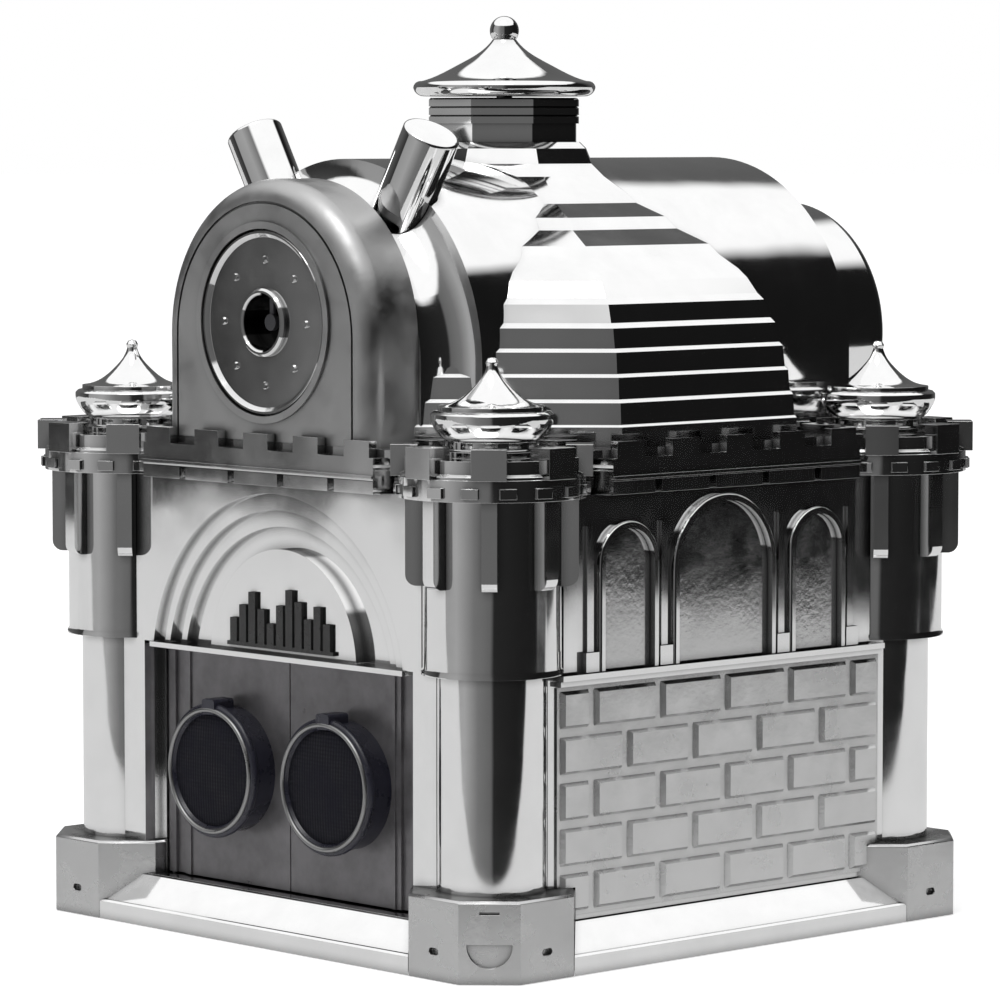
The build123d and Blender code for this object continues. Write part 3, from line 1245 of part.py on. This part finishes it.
# Volume potentiometer with its threaded bush in the lantern's top
POT_TOP = LANTERN_TOP - 4
with BuildPart() as volume_pot:
    with BuildSketch(Plane.XY.offset(LANTERN_BOTTOM + 1)):
        Circle(9.5)
    extrude(amount=POT_TOP - LANTERN_BOTTOM - 1)
    with BuildSketch(Plane.XY.offset(POT_TOP)):
        Circle(4.6)
    extrude(amount=4)
    with BuildSketch(Plane.XY.offset(LANTERN_BOTTOM + 3)):
        Circle(POT_SHAFT_RADIUS + RUN_CLEARANCE)
    extrude(amount=40, mode=Mode.SUBTRACT)
volume_pot.part.label = "volume_pot"
export_step(volume_pot.part, "parts/volume_pot.step")

with BuildPart() as volume_shaft:
    with BuildSketch(Plane.XY.offset(LANTERN_BOTTOM + 3.3)):
        Circle(POT_SHAFT_RADIUS)
    extrude(amount=CAP_BOTTOM + 14 - LANTERN_BOTTOM - 3.3)
volume_shaft.part.label = "volume_shaft"
export_step(volume_shaft.part, "parts/volume_shaft.step")

# Conical cap with a flared brim and a small ball on top: the volume knob
KNOB_RADIUS = 5.5
knob_neck = 4.4
knob_foot = CAP_TOP - KNOB_RADIUS - math.sqrt(KNOB_RADIUS**2 - knob_neck**2)
with BuildPart() as volume_cap:
    with BuildSketch(Plane.XZ):
        with BuildLine():
            Polyline((POT_SHAFT_RADIUS, CAP_BOTTOM), (CAP_RADIUS - 4.6, CAP_BOTTOM))
            ThreePointArc(
                (CAP_RADIUS - 4.6, CAP_BOTTOM),
                (CAP_RADIUS - 1.0, CAP_BOTTOM + 1.2),
                (CAP_RADIUS, CAP_BOTTOM + 3.2),
            )
            ThreePointArc(
                (CAP_RADIUS, CAP_BOTTOM + 3.2),
                (CAP_RADIUS - 0.9, CAP_BOTTOM + 5.0),
                (CAP_RADIUS - 3.0, CAP_BOTTOM + 5.6),
            )
            Spline(
                (CAP_RADIUS - 3.0, CAP_BOTTOM + 5.6),
                (17.4, CAP_BOTTOM + 11.8),
                (knob_neck, knob_foot),
                tangents=((-1, 0.25), (-0.7, 1)),
            )
            ThreePointArc((knob_neck, knob_foot), (KNOB_RADIUS, CAP_TOP - KNOB_RADIUS), (0, CAP_TOP))
            Polyline(
                (0, CAP_TOP),
                (0, CAP_BOTTOM + 14),
                (POT_SHAFT_RADIUS, CAP_BOTTOM + 14),
                (POT_SHAFT_RADIUS, CAP_BOTTOM),
            )
        make_face()
    revolve(axis=Axis.Z)
volume_cap.part.label = "volume_cap"
export_step(volume_cap.part, "parts/volume_cap.step")

# ---------------------------------------------------------------- inside the case

BATTERY_RADIUS = 16.6
BATTERY_LENGTH = 61.0
BOX_WALL = 2.0
BOX_FRONT = -87.0
BOX_HALF = BATTERY_LENGTH + BOX_WALL + 2.0
BOX_DEPTH = 2 * BATTERY_RADIUS + BOX_WALL + 0.8
BOX_HEIGHT = 4 * BATTERY_RADIUS + 3 * BOX_WALL + 1.2
CELL_Y = BOX_FRONT + 0.4 + BATTERY_RADIUS
CELL_ZS = (
    TRAY_FLOOR_TOP + BOX_WALL + 0.2 + BATTERY_RADIUS,
    TRAY_FLOOR_TOP + 2 * BOX_WALL + 0.8 + 3 * BATTERY_RADIUS,
)

# Battery box behind the doors: two shelves open to the front
with BuildPart() as battery_box:
    with BuildSketch(Plane.XY.offset(TRAY_FLOOR_TOP)):
        with Locations((0, BOX_FRONT + BOX_DEPTH / 2)):
            Rectangle(2 * BOX_HALF, BOX_DEPTH)
    extrude(amount=BOX_HEIGHT)
    with BuildSketch(FRONT.offset(-BOX_FRONT)):
        with Locations(*[(0, z) for z in CELL_ZS]):
            Rectangle(2 * BOX_HALF - 2 * BOX_WALL, 2 * BATTERY_RADIUS + 0.4)
    extrude(amount=-(BOX_DEPTH - BOX_WALL), mode=Mode.SUBTRACT)
battery_box.part.label = "battery_box"
export_step(battery_box.part, "parts/battery_box.step")

# Four D cells, two on each shelf
with BuildPart() as battery_cells:
    for start in (-BATTERY_LENGTH - 0.5, 0.5):
        with BuildSketch(Plane(origin=(start, CELL_Y, 0), x_dir=(0, 1, 0), z_dir=(1, 0, 0))):
            with Locations(*[(0, z) for z in CELL_ZS]):
                Circle(BATTERY_RADIUS)
        extrude(amount=BATTERY_LENGTH - 1.5)
        with BuildSketch(
            Plane(origin=(start + BATTERY_LENGTH - 1.5, CELL_Y, 0), x_dir=(0, 1, 0), z_dir=(1, 0, 0))
        ):
            with Locations(*[(0, z) for z in CELL_ZS]):
                Circle(4.5)
        extrude(amount=1.5)
battery_cells.part.label = "battery_cells"
export_step(battery_cells.part, "parts/battery_cells.step")

# Main board on four posts, with its larger components
BOARD_BOTTOM = 18.0
BOARD_TOP = 19.6
BOARD_MIDDLE = (0, 38.0)
with BuildPart() as main_board:
    with BuildSketch(Plane.XY.offset(TRAY_FLOOR_TOP)):
        with Locations(BOARD_MIDDLE):
            with GridLocations(130, 74, 2, 2):
                Circle(3.0)
    extrude(amount=BOARD_BOTTOM - TRAY_FLOOR_TOP)
    with BuildSketch(Plane.XY.offset(BOARD_BOTTOM)):
        with Locations(BOARD_MIDDLE):
            Rectangle(144, 88)
    extrude(amount=BOARD_TOP - BOARD_BOTTOM)
    with BuildSketch(Plane.XY.offset(BOARD_TOP)):
        with Locations((-45, 20), (-15, 30)):
            Rectangle(16, 10)
        with Locations((30, 25)):
            Rectangle(34, 12)
    extrude(amount=6.0)
    with BuildSketch(Plane.XY.offset(BOARD_TOP)):
        with Locations((-50, 55), (-34, 55), (20, 55), (36, 55)):
            Circle(5.0)
    extrude(amount=16.0)
main_board.part.label = "main_board"
export_step(main_board.part, "parts/main_board.step")

# Two jacks in the rear panel: power inlet and headphone socket
with BuildPart() as rear_jacks:
    with BuildSketch(REAR.offset(WALL_INNER)):
        with Locations(*[(x, JACK_HEIGHT) for x in JACK_X]):
            Circle(JACK_RADIUS - CLEAR)
    extrude(amount=WALL_THICK + 2.6)
    with BuildSketch(REAR.offset(WALL_INNER - 10)):
        with Locations(*[(x, JACK_HEIGHT) for x in JACK_X]):
            Rectangle(10, 10)
    extrude(amount=10)
    with BuildSketch(REAR.offset(WALL_INNER - 8)):
        with Locations((JACK_X[0], JACK_HEIGHT)):
            Circle(2.75)
            Circle(1.0, mode=Mode.SUBTRACT)
        with Locations((JACK_X[1], JACK_HEIGHT)):
            Circle(1.75)
    extrude(amount=20, mode=Mode.SUBTRACT)
rear_jacks.part.label = "rear_jacks"
export_step(rear_jacks.part, "parts/rear_jacks.step")
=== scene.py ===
import json
import math

import bmesh
import bpy
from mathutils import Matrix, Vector


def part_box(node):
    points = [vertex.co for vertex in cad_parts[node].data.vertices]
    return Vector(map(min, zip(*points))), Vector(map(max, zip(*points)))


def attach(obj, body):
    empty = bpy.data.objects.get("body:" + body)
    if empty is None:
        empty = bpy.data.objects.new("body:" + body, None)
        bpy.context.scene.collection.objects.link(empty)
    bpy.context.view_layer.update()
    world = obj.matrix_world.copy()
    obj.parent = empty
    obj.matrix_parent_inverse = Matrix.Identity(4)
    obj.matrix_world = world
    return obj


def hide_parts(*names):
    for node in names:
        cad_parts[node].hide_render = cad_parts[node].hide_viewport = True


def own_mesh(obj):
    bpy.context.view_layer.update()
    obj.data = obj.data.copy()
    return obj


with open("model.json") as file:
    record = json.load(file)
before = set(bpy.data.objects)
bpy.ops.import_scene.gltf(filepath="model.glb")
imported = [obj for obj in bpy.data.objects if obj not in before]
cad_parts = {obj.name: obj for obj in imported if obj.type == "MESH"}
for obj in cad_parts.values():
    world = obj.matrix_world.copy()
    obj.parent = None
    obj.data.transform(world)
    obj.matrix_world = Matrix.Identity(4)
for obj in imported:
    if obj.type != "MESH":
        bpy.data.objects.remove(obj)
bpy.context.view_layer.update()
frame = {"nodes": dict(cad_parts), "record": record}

NODES = frame["nodes"]


# ------------------------------------------------------------------ materials

# Sizes of the surface patterns, in cells per metre
RIPPLE_CELLS = 22.0          # waviness of a thin plated panel
HAZE_CELLS = 60.0
PATCH_CELLS = 90.0           # uneven gloss of paint and plastic
GRAIN_CELLS = 420.0
FINE_CELLS = 2200.0
CLOTH_THREADS = 700          # per metre
BANDS_PER_SCALE = 10 / math.pi   # what the wave texture draws per metre at scale 1

# Sockets of a colour Mix node, which are reached by number
MIX_FIRST = 6
MIX_SECOND = 7
MIX_RESULT = 2


def new_material(name, **settings):
    """A Principled material with the given socket values, with its node tree and its shader."""
    material = bpy.data.materials.new(name)
    material.use_nodes = True
    shader = material.node_tree.nodes["Principled BSDF"]
    for socket, value in settings.items():
        shader.inputs[socket.replace("_", " ")].default_value = value
    return material, material.node_tree, shader


def add_node(tree, kind, **settings):
    """A new node of that kind, with its properties set."""
    node = tree.nodes.new(kind)
    for name, value in settings.items():
        setattr(node, name, value)
    return node


def noise(tree, scale, detail, roughness):
    """Noise in the object's own coordinates, at scale cells per metre."""
    place = add_node(tree, "ShaderNodeTexCoord")
    texture = add_node(tree, "ShaderNodeTexNoise")
    texture.inputs["Scale"].default_value = scale
    texture.inputs["Detail"].default_value = detail
    texture.inputs["Roughness"].default_value = roughness
    tree.links.new(place.outputs["Object"], texture.inputs["Vector"])
    return texture.outputs["Fac"]


def spread(tree, value, low, high, start=0.0, end=1.0):
    """Maps value from start..end to low..high."""
    ranges = add_node(tree, "ShaderNodeMapRange")
    ranges.inputs["From Min"].default_value = start
    ranges.inputs["From Max"].default_value = end
    ranges.inputs["To Min"].default_value = low
    ranges.inputs["To Max"].default_value = high
    tree.links.new(value, ranges.inputs["Value"])
    return ranges.outputs["Result"]


def tint(tree, value, stops):
    """Colour ramp over value, stops as (position, grey or colour)."""
    ramp = add_node(tree, "ShaderNodeValToRGB")
    while len(ramp.color_ramp.elements) < len(stops):
        ramp.color_ramp.elements.new(0.5)
    for element, (position, shade) in zip(ramp.color_ramp.elements, stops):
        element.position = position
        colour = shade if isinstance(shade, tuple) else (shade,) * 3
        element.color = (*colour, 1.0)
    tree.links.new(value, ramp.inputs["Fac"])
    return ramp.outputs["Color"]


def bump(tree, shader, height, distance, strength=1.0):
    """Adds a bump of that many metres to the shader, over any bump it has already."""
    relief = add_node(tree, "ShaderNodeBump")
    relief.inputs["Strength"].default_value = strength
    relief.inputs["Distance"].default_value = distance
    tree.links.new(height, relief.inputs["Height"])
    if shader.inputs["Normal"].is_linked:
        tree.links.new(shader.inputs["Normal"].links[0].from_socket, relief.inputs["Normal"])
    tree.links.new(relief.outputs["Normal"], shader.inputs["Normal"])


def multiply(tree, first, second):
    """The product of two colours."""
    mix = add_node(tree, "ShaderNodeMix", data_type="RGBA", blend_type="MULTIPLY")
    mix.inputs["Factor"].default_value = 1.0
    tree.links.new(first, mix.inputs[MIX_FIRST])
    tree.links.new(second, mix.inputs[MIX_SECOND])
    return mix.outputs[MIX_RESULT]


def painted_corner_shade(tree, colour, reach, depth):
    """Painted shade: darkens colour to depth in corners and grooves under reach metres from another
    surface, where shade falls.
    """
    closeness = add_node(tree, "ShaderNodeAmbientOcclusion", samples=6, only_local=False)
    closeness.inputs["Distance"].default_value = reach
    corner_shade = spread(tree, closeness.outputs["AO"], depth, 1.0, start=0.35, end=0.95)
    return multiply(tree, colour, corner_shade)


def plated(name, shade, roughness, ripple, grain=0.0, reach=0.004, depth=0.35):
    """Chrome plating over a moulded panel: soft waviness, faint haze, painted shade in the corners and
    grooves, and grain if asked.
    """
    material, tree, shader = new_material(name, Metallic=1.0)
    haze = noise(tree, HAZE_CELLS, detail=4.0, roughness=0.6)
    plating = tint(tree, haze, [(0.35, shade * 0.95), (0.65, shade)])
    tree.links.new(painted_corner_shade(tree, plating, reach, depth), shader.inputs["Base Color"])
    gloss = spread(tree, haze, roughness * 0.7, roughness * 1.4, start=0.3, end=0.7)
    tree.links.new(gloss, shader.inputs["Roughness"])
    bump(tree, shader, noise(tree, RIPPLE_CELLS, detail=1.0, roughness=0.4), ripple)
    if grain:
        bump(tree, shader, noise(tree, GRAIN_CELLS, detail=2.0, roughness=0.6), grain)
    return material


case_chrome = plated("case_chrome", 0.90, 0.07, 0.0004)
satin_chrome = plated("satin_chrome", 0.62, 0.28, 0.0003, 0.00003)
brick_chrome = plated("brick_chrome", 0.70, 0.22, 0.0003, 0.00003, reach=0.003, depth=0.4)
silver_satin = plated("silver_satin", 0.50, 0.40, 0.0001, 0.00002)
window_plate = plated("window_plate", 0.62, 0.10, 0.0003, 0.00002)
dial_chrome = plated("dial_chrome", 0.80, 0.07, 0.0001)
rim_satin = plated("rim_satin", 0.34, 0.32, 0.0001, 0.00002)
knob_chrome = plated("knob_chrome", 0.90, 0.04, 0.0001)
zinc = plated("zinc", 0.55, 0.3, 0.00005, 0.00002)


def paint_shade_in_well(material, middle, radius):
    """Painted shade: blackens a material inside a radius round the line along Y through middle, in place
    of the shade down a well.
    """
    blur = 0.0002
    tree = material.node_tree
    shader = tree.nodes["Principled BSDF"]
    place = add_node(tree, "ShaderNodeTexCoord")
    flatten = add_node(tree, "ShaderNodeVectorMath", operation="MULTIPLY")
    flatten.inputs[1].default_value = (1, 0, 1)
    reach = add_node(tree, "ShaderNodeVectorMath", operation="DISTANCE")
    reach.inputs[1].default_value = (middle[0], 0, middle[2])
    tree.links.new(place.outputs["Object"], flatten.inputs[0])
    tree.links.new(flatten.outputs["Vector"], reach.inputs[0])
    outside = spread(tree, reach.outputs["Value"], 0.03, 1.0, radius - blur, radius + blur)
    plating = shader.inputs["Base Color"].links[0].from_socket
    tree.links.new(multiply(tree, plating, outside), shader.inputs["Base Color"])


# The dial is painted black round its hub, standing in for the shade down its well
WELL_RADIUS = 0.0101
dial_low, dial_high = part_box("tuning_dial")
paint_shade_in_well(dial_chrome, (dial_low + dial_high) / 2, WELL_RADIUS)


def coated(name, shade, roughness, grain, metallic=0.0, coat=0.0):
    """Paint or moulded plastic with a fine grain and uneven gloss."""
    material, tree, shader = new_material(name, Metallic=metallic, Coat_Weight=coat, Coat_Roughness=0.15)
    patches = noise(tree, PATCH_CELLS, detail=5.0, roughness=0.6)
    darker = tuple(c * 0.8 for c in shade)
    lighter = tuple(min(1.0, c * 1.15) for c in shade)
    gloss = spread(tree, patches, roughness * 0.8, roughness * 1.25, start=0.3, end=0.7)
    tree.links.new(tint(tree, patches, [(0.35, darker), (0.65, lighter)]), shader.inputs["Base Color"])
    tree.links.new(gloss, shader.inputs["Roughness"])
    bump(tree, shader, noise(tree, FINE_CELLS, detail=2.0, roughness=0.6), grain)
    return material


door_paint = coated("door_paint", (0.17, 0.165, 0.172), 0.34, 0.00003, metallic=0.6)
housing_plastic = coated("housing_plastic", (0.018, 0.018, 0.028), 0.28, 0.00003)
speaker_black = coated("speaker_black", (0.03, 0.03, 0.03), 0.45, 0.00003)
cone_paper = coated("cone_paper", (0.022, 0.022, 0.035), 0.7, 0.00008)
speaker_cloth = coated("speaker_cloth", (0.006, 0.006, 0.011), 0.7, 0.00002)
speaker_cloth.node_tree.nodes["Principled BSDF"].inputs["Specular IOR Level"].default_value = 0.2
emblem_black = coated("emblem_black", (0.02, 0.02, 0.02), 0.2, 0.00001)
foot_rubber = coated("foot_rubber", (0.03, 0.03, 0.03), 0.8, 0.00006)
part_plastic = coated("part_plastic", (0.04, 0.04, 0.045), 0.5, 0.00003)
cell_wrap = coated("cell_wrap", (0.12, 0.13, 0.16), 0.25, 0.00001, coat=0.4)
board_green = coated("board_green", (0.02, 0.13, 0.06), 0.4, 0.00002, coat=0.3)

BY_SLOT = {
    "case_chrome": case_chrome,
    "brick_chrome": brick_chrome,
    "grille": window_plate,
    "door_panel": door_paint,
    "speaker_housing": housing_plastic,
    "speaker_metal": speaker_black,
    "speaker_cone": cone_paper,
    "emblem": emblem_black,
    "dial": dial_chrome,
    "control_chrome": knob_chrome,
    "steel": zinc,
    "foot_rubber": foot_rubber,
    "component_plastic": part_plastic,
    "cell": cell_wrap,
    "circuit_board": board_green,
}

# Widths of the rounded edges, in metres
EDGED = {"parapet": 0.0009, "front_wall": 0.0004, "base_tray": 0.0004}
EDGED |= {name: 0.0006 for name in NODES if name.startswith(("plinth", "capital", "column"))}


def soften_edges(piece, width):
    """Small rounded edges that catch the light, worked out from the sharp edges of the moulding."""
    weld = piece.modifiers.new("weld", "WELD")
    weld.merge_threshold = 0.00001
    flats = piece.modifiers.new("flats", "DECIMATE")
    flats.decimate_type = "DISSOLVE"
    flats.angle_limit = math.radians(0.5)
    edge = piece.modifiers.new("edge", "BEVEL")
    edge.width = width
    edge.segments = 2
    edge.limit_method = "ANGLE"
    edge.angle_limit = math.radians(40)
    edge.use_clamp_overlap = True
    shading = piece.modifiers.new("shading", "WEIGHTED_NORMAL")
    shading.weight = 80


for name, width in EDGED.items():
    soften_edges(NODES[name], width)

BY_NODE = {name: satin_chrome for name in NODES if name.startswith("plinth")}
BY_NODE["gable_bezel"] = silver_satin
# Painted shade: the dial's shaft takes the black plastic so that it looks dark down the dial's well
BY_NODE["dial_shaft"] = part_plastic
for part in frame["record"]["subparts"]:
    mesh = NODES[part["node"]].data
    mesh.materials.clear()
    mesh.materials.append(BY_NODE.get(part["node"], BY_SLOT[part["material_slot"]]))


# ------------------------------------------------------------------ speaker fronts

def weave(material, threads):
    """Raises crossed threads on a material, threads being their number per metre."""
    relief = 0.0002
    tree = material.node_tree
    place = add_node(tree, "ShaderNodeTexCoord")
    for axis in ("X", "Z"):
        thread = add_node(tree, "ShaderNodeTexWave", bands_direction=axis)
        thread.inputs["Scale"].default_value = threads / BANDS_PER_SCALE
        tree.links.new(place.outputs["Object"], thread.inputs["Vector"])
        bump(tree, tree.nodes["Principled BSDF"], thread.outputs["Fac"], relief, strength=0.6)


def turned(name, profile, centre, material, body):
    """A piece turned round a line along Y, from a closed profile of (radius, forward) points."""
    steps = 96
    joined = 1e-6
    form = bmesh.new()
    rings = []
    for radius, forward in profile:
        angles = (2 * math.pi * step / steps for step in range(steps))
        offsets = [(radius * math.cos(angle), -forward, radius * math.sin(angle)) for angle in angles]
        rings.append([form.verts.new(centre + Vector(offset)) for offset in offsets])
    for ring, following in zip(rings, rings[1:] + rings[:1]):
        for step in range(steps):
            beside = (step + 1) % steps
            form.faces.new((ring[step], ring[beside], following[beside], following[step]))
    bmesh.ops.remove_doubles(form, verts=form.verts, dist=joined)
    bmesh.ops.dissolve_degenerate(form, edges=form.edges, dist=joined)
    bmesh.ops.recalc_face_normals(form, faces=form.faces)
    mesh = bpy.data.meshes.new(name)
    form.to_mesh(mesh)
    form.free()
    mesh.polygons.foreach_set("use_smooth", [True] * len(mesh.polygons))
    mesh.materials.append(material)
    piece = bpy.data.objects.new(name, mesh)
    bpy.context.scene.collection.objects.link(piece)
    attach(piece, body)


LUG_PROUD = 0.0006           # the pod's lug stands this far in front of its face
CLOTH_RADIUS = 0.0214
CLOTH_EDGE = 0.0012          # behind the pod's front face
CLOTH_CROWN = 0.0010
CLOTH_THICK = 0.0005
CLOTH_RINGS = 8
TRIM_RADIUS = 0.0226
TRIM_WIRE = 0.0009
TRIM_POINTS = 12


def speaker_front(side):
    """The domed cloth and the thin trim ring on the front of one door's pod."""
    low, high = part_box(f"speaker_pod_{side}")
    pod_radius = (high.x - low.x) / 2
    front = Vector(((low.x + high.x) / 2, low.y + LUG_PROUD, low.z + pod_radius))
    crown = []
    for ring in range(CLOTH_RINGS + 1):
        share = ring / CLOTH_RINGS
        crown.append((CLOTH_RADIUS * share, CLOTH_CROWN * (1 - share ** 2) - CLOTH_EDGE))
    back = [(radius, forward - CLOTH_THICK) for radius, forward in reversed(crown)]
    turned(f"speaker_cloth_{side}", crown + back, front, speaker_cloth, f"door_{side}")
    wire = []
    for point in range(TRIM_POINTS):
        angle = 2 * math.pi * point / TRIM_POINTS
        wire.append((TRIM_RADIUS + TRIM_WIRE * math.cos(angle), TRIM_WIRE * math.sin(angle)))
    turned(f"speaker_trim_{side}", wire, front, rim_satin, f"door_{side}")


weave(speaker_cloth, CLOTH_THREADS)
for side in ("left", "right"):
    speaker_front(side)


# ------------------------------------------------------------------ return springs

def return_spring(side):
    """The button's coil spring, as a copy of its part that goes with the casing."""
    node = NODES[f"button_spring_{side}"]
    coil = bpy.data.objects.new(f"return_spring_{side}", node.data.copy())
    bpy.context.scene.collection.objects.link(coil)
    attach(coil, "casing")
    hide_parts(node.name)
    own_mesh(coil)


for side in ("left", "right"):
    return_spring(side)


# ------------------------------------------------------------------ studio

def stage_plane(name, centre, across, up, material, camera_sees=True):
    """A flat card of the studio, across and up being half its width and height as vectors."""
    centre, across, up = Vector(centre), Vector(across), Vector(up)
    mesh = bpy.data.meshes.new(name)
    corners = [centre - across - up, centre + across - up, centre + across + up, centre - across + up]
    mesh.from_pydata([tuple(c) for c in corners], [], [(0, 1, 2, 3)])
    mesh.materials.append(material)
    card = bpy.data.objects.new(name, mesh)
    bpy.context.scene.collection.objects.link(card)
    card.visible_camera = camera_sees
    return card


def flat_light(name, value):
    """A material that shows the same grey whatever lights it."""
    material = bpy.data.materials.new(name)
    material.use_nodes = True
    tree = material.node_tree
    tree.nodes.clear()
    glow = add_node(tree, "ShaderNodeEmission")
    glow.inputs["Color"].default_value = (value, value, value, 1)
    out = add_node(tree, "ShaderNodeOutputMaterial")
    tree.links.new(glow.outputs["Emission"], out.inputs["Surface"])
    return material


# Level directions, from the object to the camera and to the camera's right
CAMERA_SIDE = Vector((0.729, -0.685, 0.0)).normalized()
RIGHT_SIDE = Vector((-CAMERA_SIDE.y, CAMERA_SIDE.x, 0.0))

# The floor and the backdrop that the camera sees
FLOOR_HALF = 30.0
BACKDROP_RADIUS = 32.0
floor_paint, _, floor_shader = new_material("floor_paint", Roughness=0.9, Emission_Strength=0.42)
floor_shader.inputs["Base Color"].default_value = (0.93, 0.93, 0.93, 1)
floor_shader.inputs["Emission Color"].default_value = (1, 1, 1, 1)
floor = stage_plane("floor", (0, 0, 0), (FLOOR_HALF, 0, 0), (0, FLOOR_HALF, 0), floor_paint)
floor.visible_glossy = False
bpy.ops.mesh.primitive_uv_sphere_add(segments=48, ring_count=24, radius=BACKDROP_RADIUS)
backdrop = bpy.context.object
backdrop.name = "backdrop"
backdrop.data.materials.append(flat_light("backdrop_white", 1.0))
for ray in ("diffuse", "glossy", "transmission", "volume_scatter", "shadow"):
    setattr(backdrop, "visible_" + ray, False)

# The white paper sheet the chrome mirrors: it ends in front of the camera and at the right
paper, _, paper_shader = new_material("paper", Roughness=0.9, Emission_Strength=0.02)
paper_shader.inputs["Base Color"].default_value = (0.74, 0.74, 0.74, 1)
paper_shader.inputs["Emission Color"].default_value = (1, 1, 1, 1)
PAPER_FRONT = 0.385
PAPER_BACK = -2.0
PAPER_LEFT = -2.05
PAPER_RIGHT = 1.36
PAPER_DROP = Vector((0, 0, -0.0005))
paper_middle = CAMERA_SIDE * (PAPER_FRONT + PAPER_BACK) / 2 + RIGHT_SIDE * (PAPER_LEFT + PAPER_RIGHT) / 2
stage_plane(
    "paper_sheet",
    paper_middle + PAPER_DROP,
    RIGHT_SIDE * (PAPER_RIGHT - PAPER_LEFT) / 2,
    CAMERA_SIDE * (PAPER_FRONT - PAPER_BACK) / 2,
    paper,
    camera_sees=False,
)

# The room round the sheet: dark walls up to the soft white ceiling
world = bpy.data.worlds.new("studio")
bpy.context.scene.world = world
world.use_nodes = True
room = world.node_tree


def vector_math(tree, operation, first, second):
    """The number that a vector operation gives for a linked vector and a fixed one."""
    node = add_node(tree, "ShaderNodeVectorMath", operation=operation)
    tree.links.new(first, node.inputs[0])
    node.inputs[1].default_value = second
    return node.outputs["Value"]


def scalar_math(tree, operation, first, second):
    """The result of an operation on two values, each linked or fixed."""
    node = add_node(tree, "ShaderNodeMath", operation=operation)
    for socket, value in zip(node.inputs, (first, second)):
        if isinstance(value, float):
            socket.default_value = value
        else:
            tree.links.new(value, socket)
    return node.outputs["Value"]


def round_room(tree, turn, stops):
    """Ramp over the compass turn, stops in degrees from the camera's side, positive to the right."""
    return tint(tree, turn, [((degrees + 180.0) / 360.0, value) for degrees, value in stops])


CEILING = 1.1
direction = add_node(room, "ShaderNodeTexCoord").outputs["Generated"]
height = vector_math(room, "DOT_PRODUCT", direction, (0, 0, 1))
towards = vector_math(room, "DOT_PRODUCT", direction, tuple(CAMERA_SIDE))
rightward = vector_math(room, "DOT_PRODUCT", direction, tuple(RIGHT_SIDE))
angle = scalar_math(room, "ARCTAN2", rightward, towards)
turn = spread(room, angle, 0.0, 1.0, -math.pi, math.pi)
walls = round_room(room, turn, [
    (-180, 0.13), (-130, 0.10), (-95.9, 0.03), (-95.2, 0.32), (-60, 0.38), (-30, 0.18), (-3, 0.13),
    (3, 0.02), (90, 0.008), (130, 0.012), (155, 0.10), (180, 0.13),
])
ceiling_edge = round_room(room, turn, [
    (-180, 0.55), (-100, 0.50), (-20, 0.60), (40, 0.60), (90, 0.57), (130, 0.62), (160, 0.61), (180, 0.58),
])
above_edge = scalar_math(room, "SUBTRACT", height, ceiling_edge)
over_edge = spread(room, above_edge, 0.0, 1.0, start=-0.02, end=0.03)
mix = add_node(room, "ShaderNodeMix", data_type="RGBA")
room.links.new(over_edge, mix.inputs["Factor"])
room.links.new(walls, mix.inputs[MIX_FIRST])
mix.inputs[MIX_SECOND].default_value = (CEILING, CEILING, CEILING, 1)
room.links.new(mix.outputs[MIX_RESULT], room.nodes["Background"].inputs["Color"])
room.nodes["Background"].inputs["Strength"].default_value = 1.0


def area_light(name, place, aim, size, power):
    """A round lamp facing aim, size metres across, with power in watts."""
    data = bpy.data.lights.new(name, "AREA")
    data.shape = "DISK"
    data.size = size
    data.energy = power
    lamp = bpy.data.objects.new(name, data)
    lamp.location = place
    lamp.rotation_euler = (Vector(aim) - Vector(place)).to_track_quat("-Z", "Y").to_euler()
    bpy.context.scene.collection.objects.link(lamp)


area_light("key", place=(0.5, -0.9, 2.4), aim=(0, 0, 0.15), size=1.4, power=16)

# The camera where the photograph was taken from, angles in degrees
CAMERA_PLACE = (1.348, -1.269, 0.296)
CAMERA_DIP = 4.312
CAMERA_HEADING = 46.78
camera_data = bpy.data.cameras.new("camera")
camera_data.sensor_width = 36.0
camera_data.lens = 175.9608
camera = bpy.data.objects.new("camera", camera_data)
camera.location = CAMERA_PLACE
camera.rotation_euler = (math.radians(90 - CAMERA_DIP), 0, math.radians(CAMERA_HEADING))
bpy.context.scene.collection.objects.link(camera)
bpy.context.scene.camera = camera
bpy.context.scene.view_settings.view_transform = "Standard"
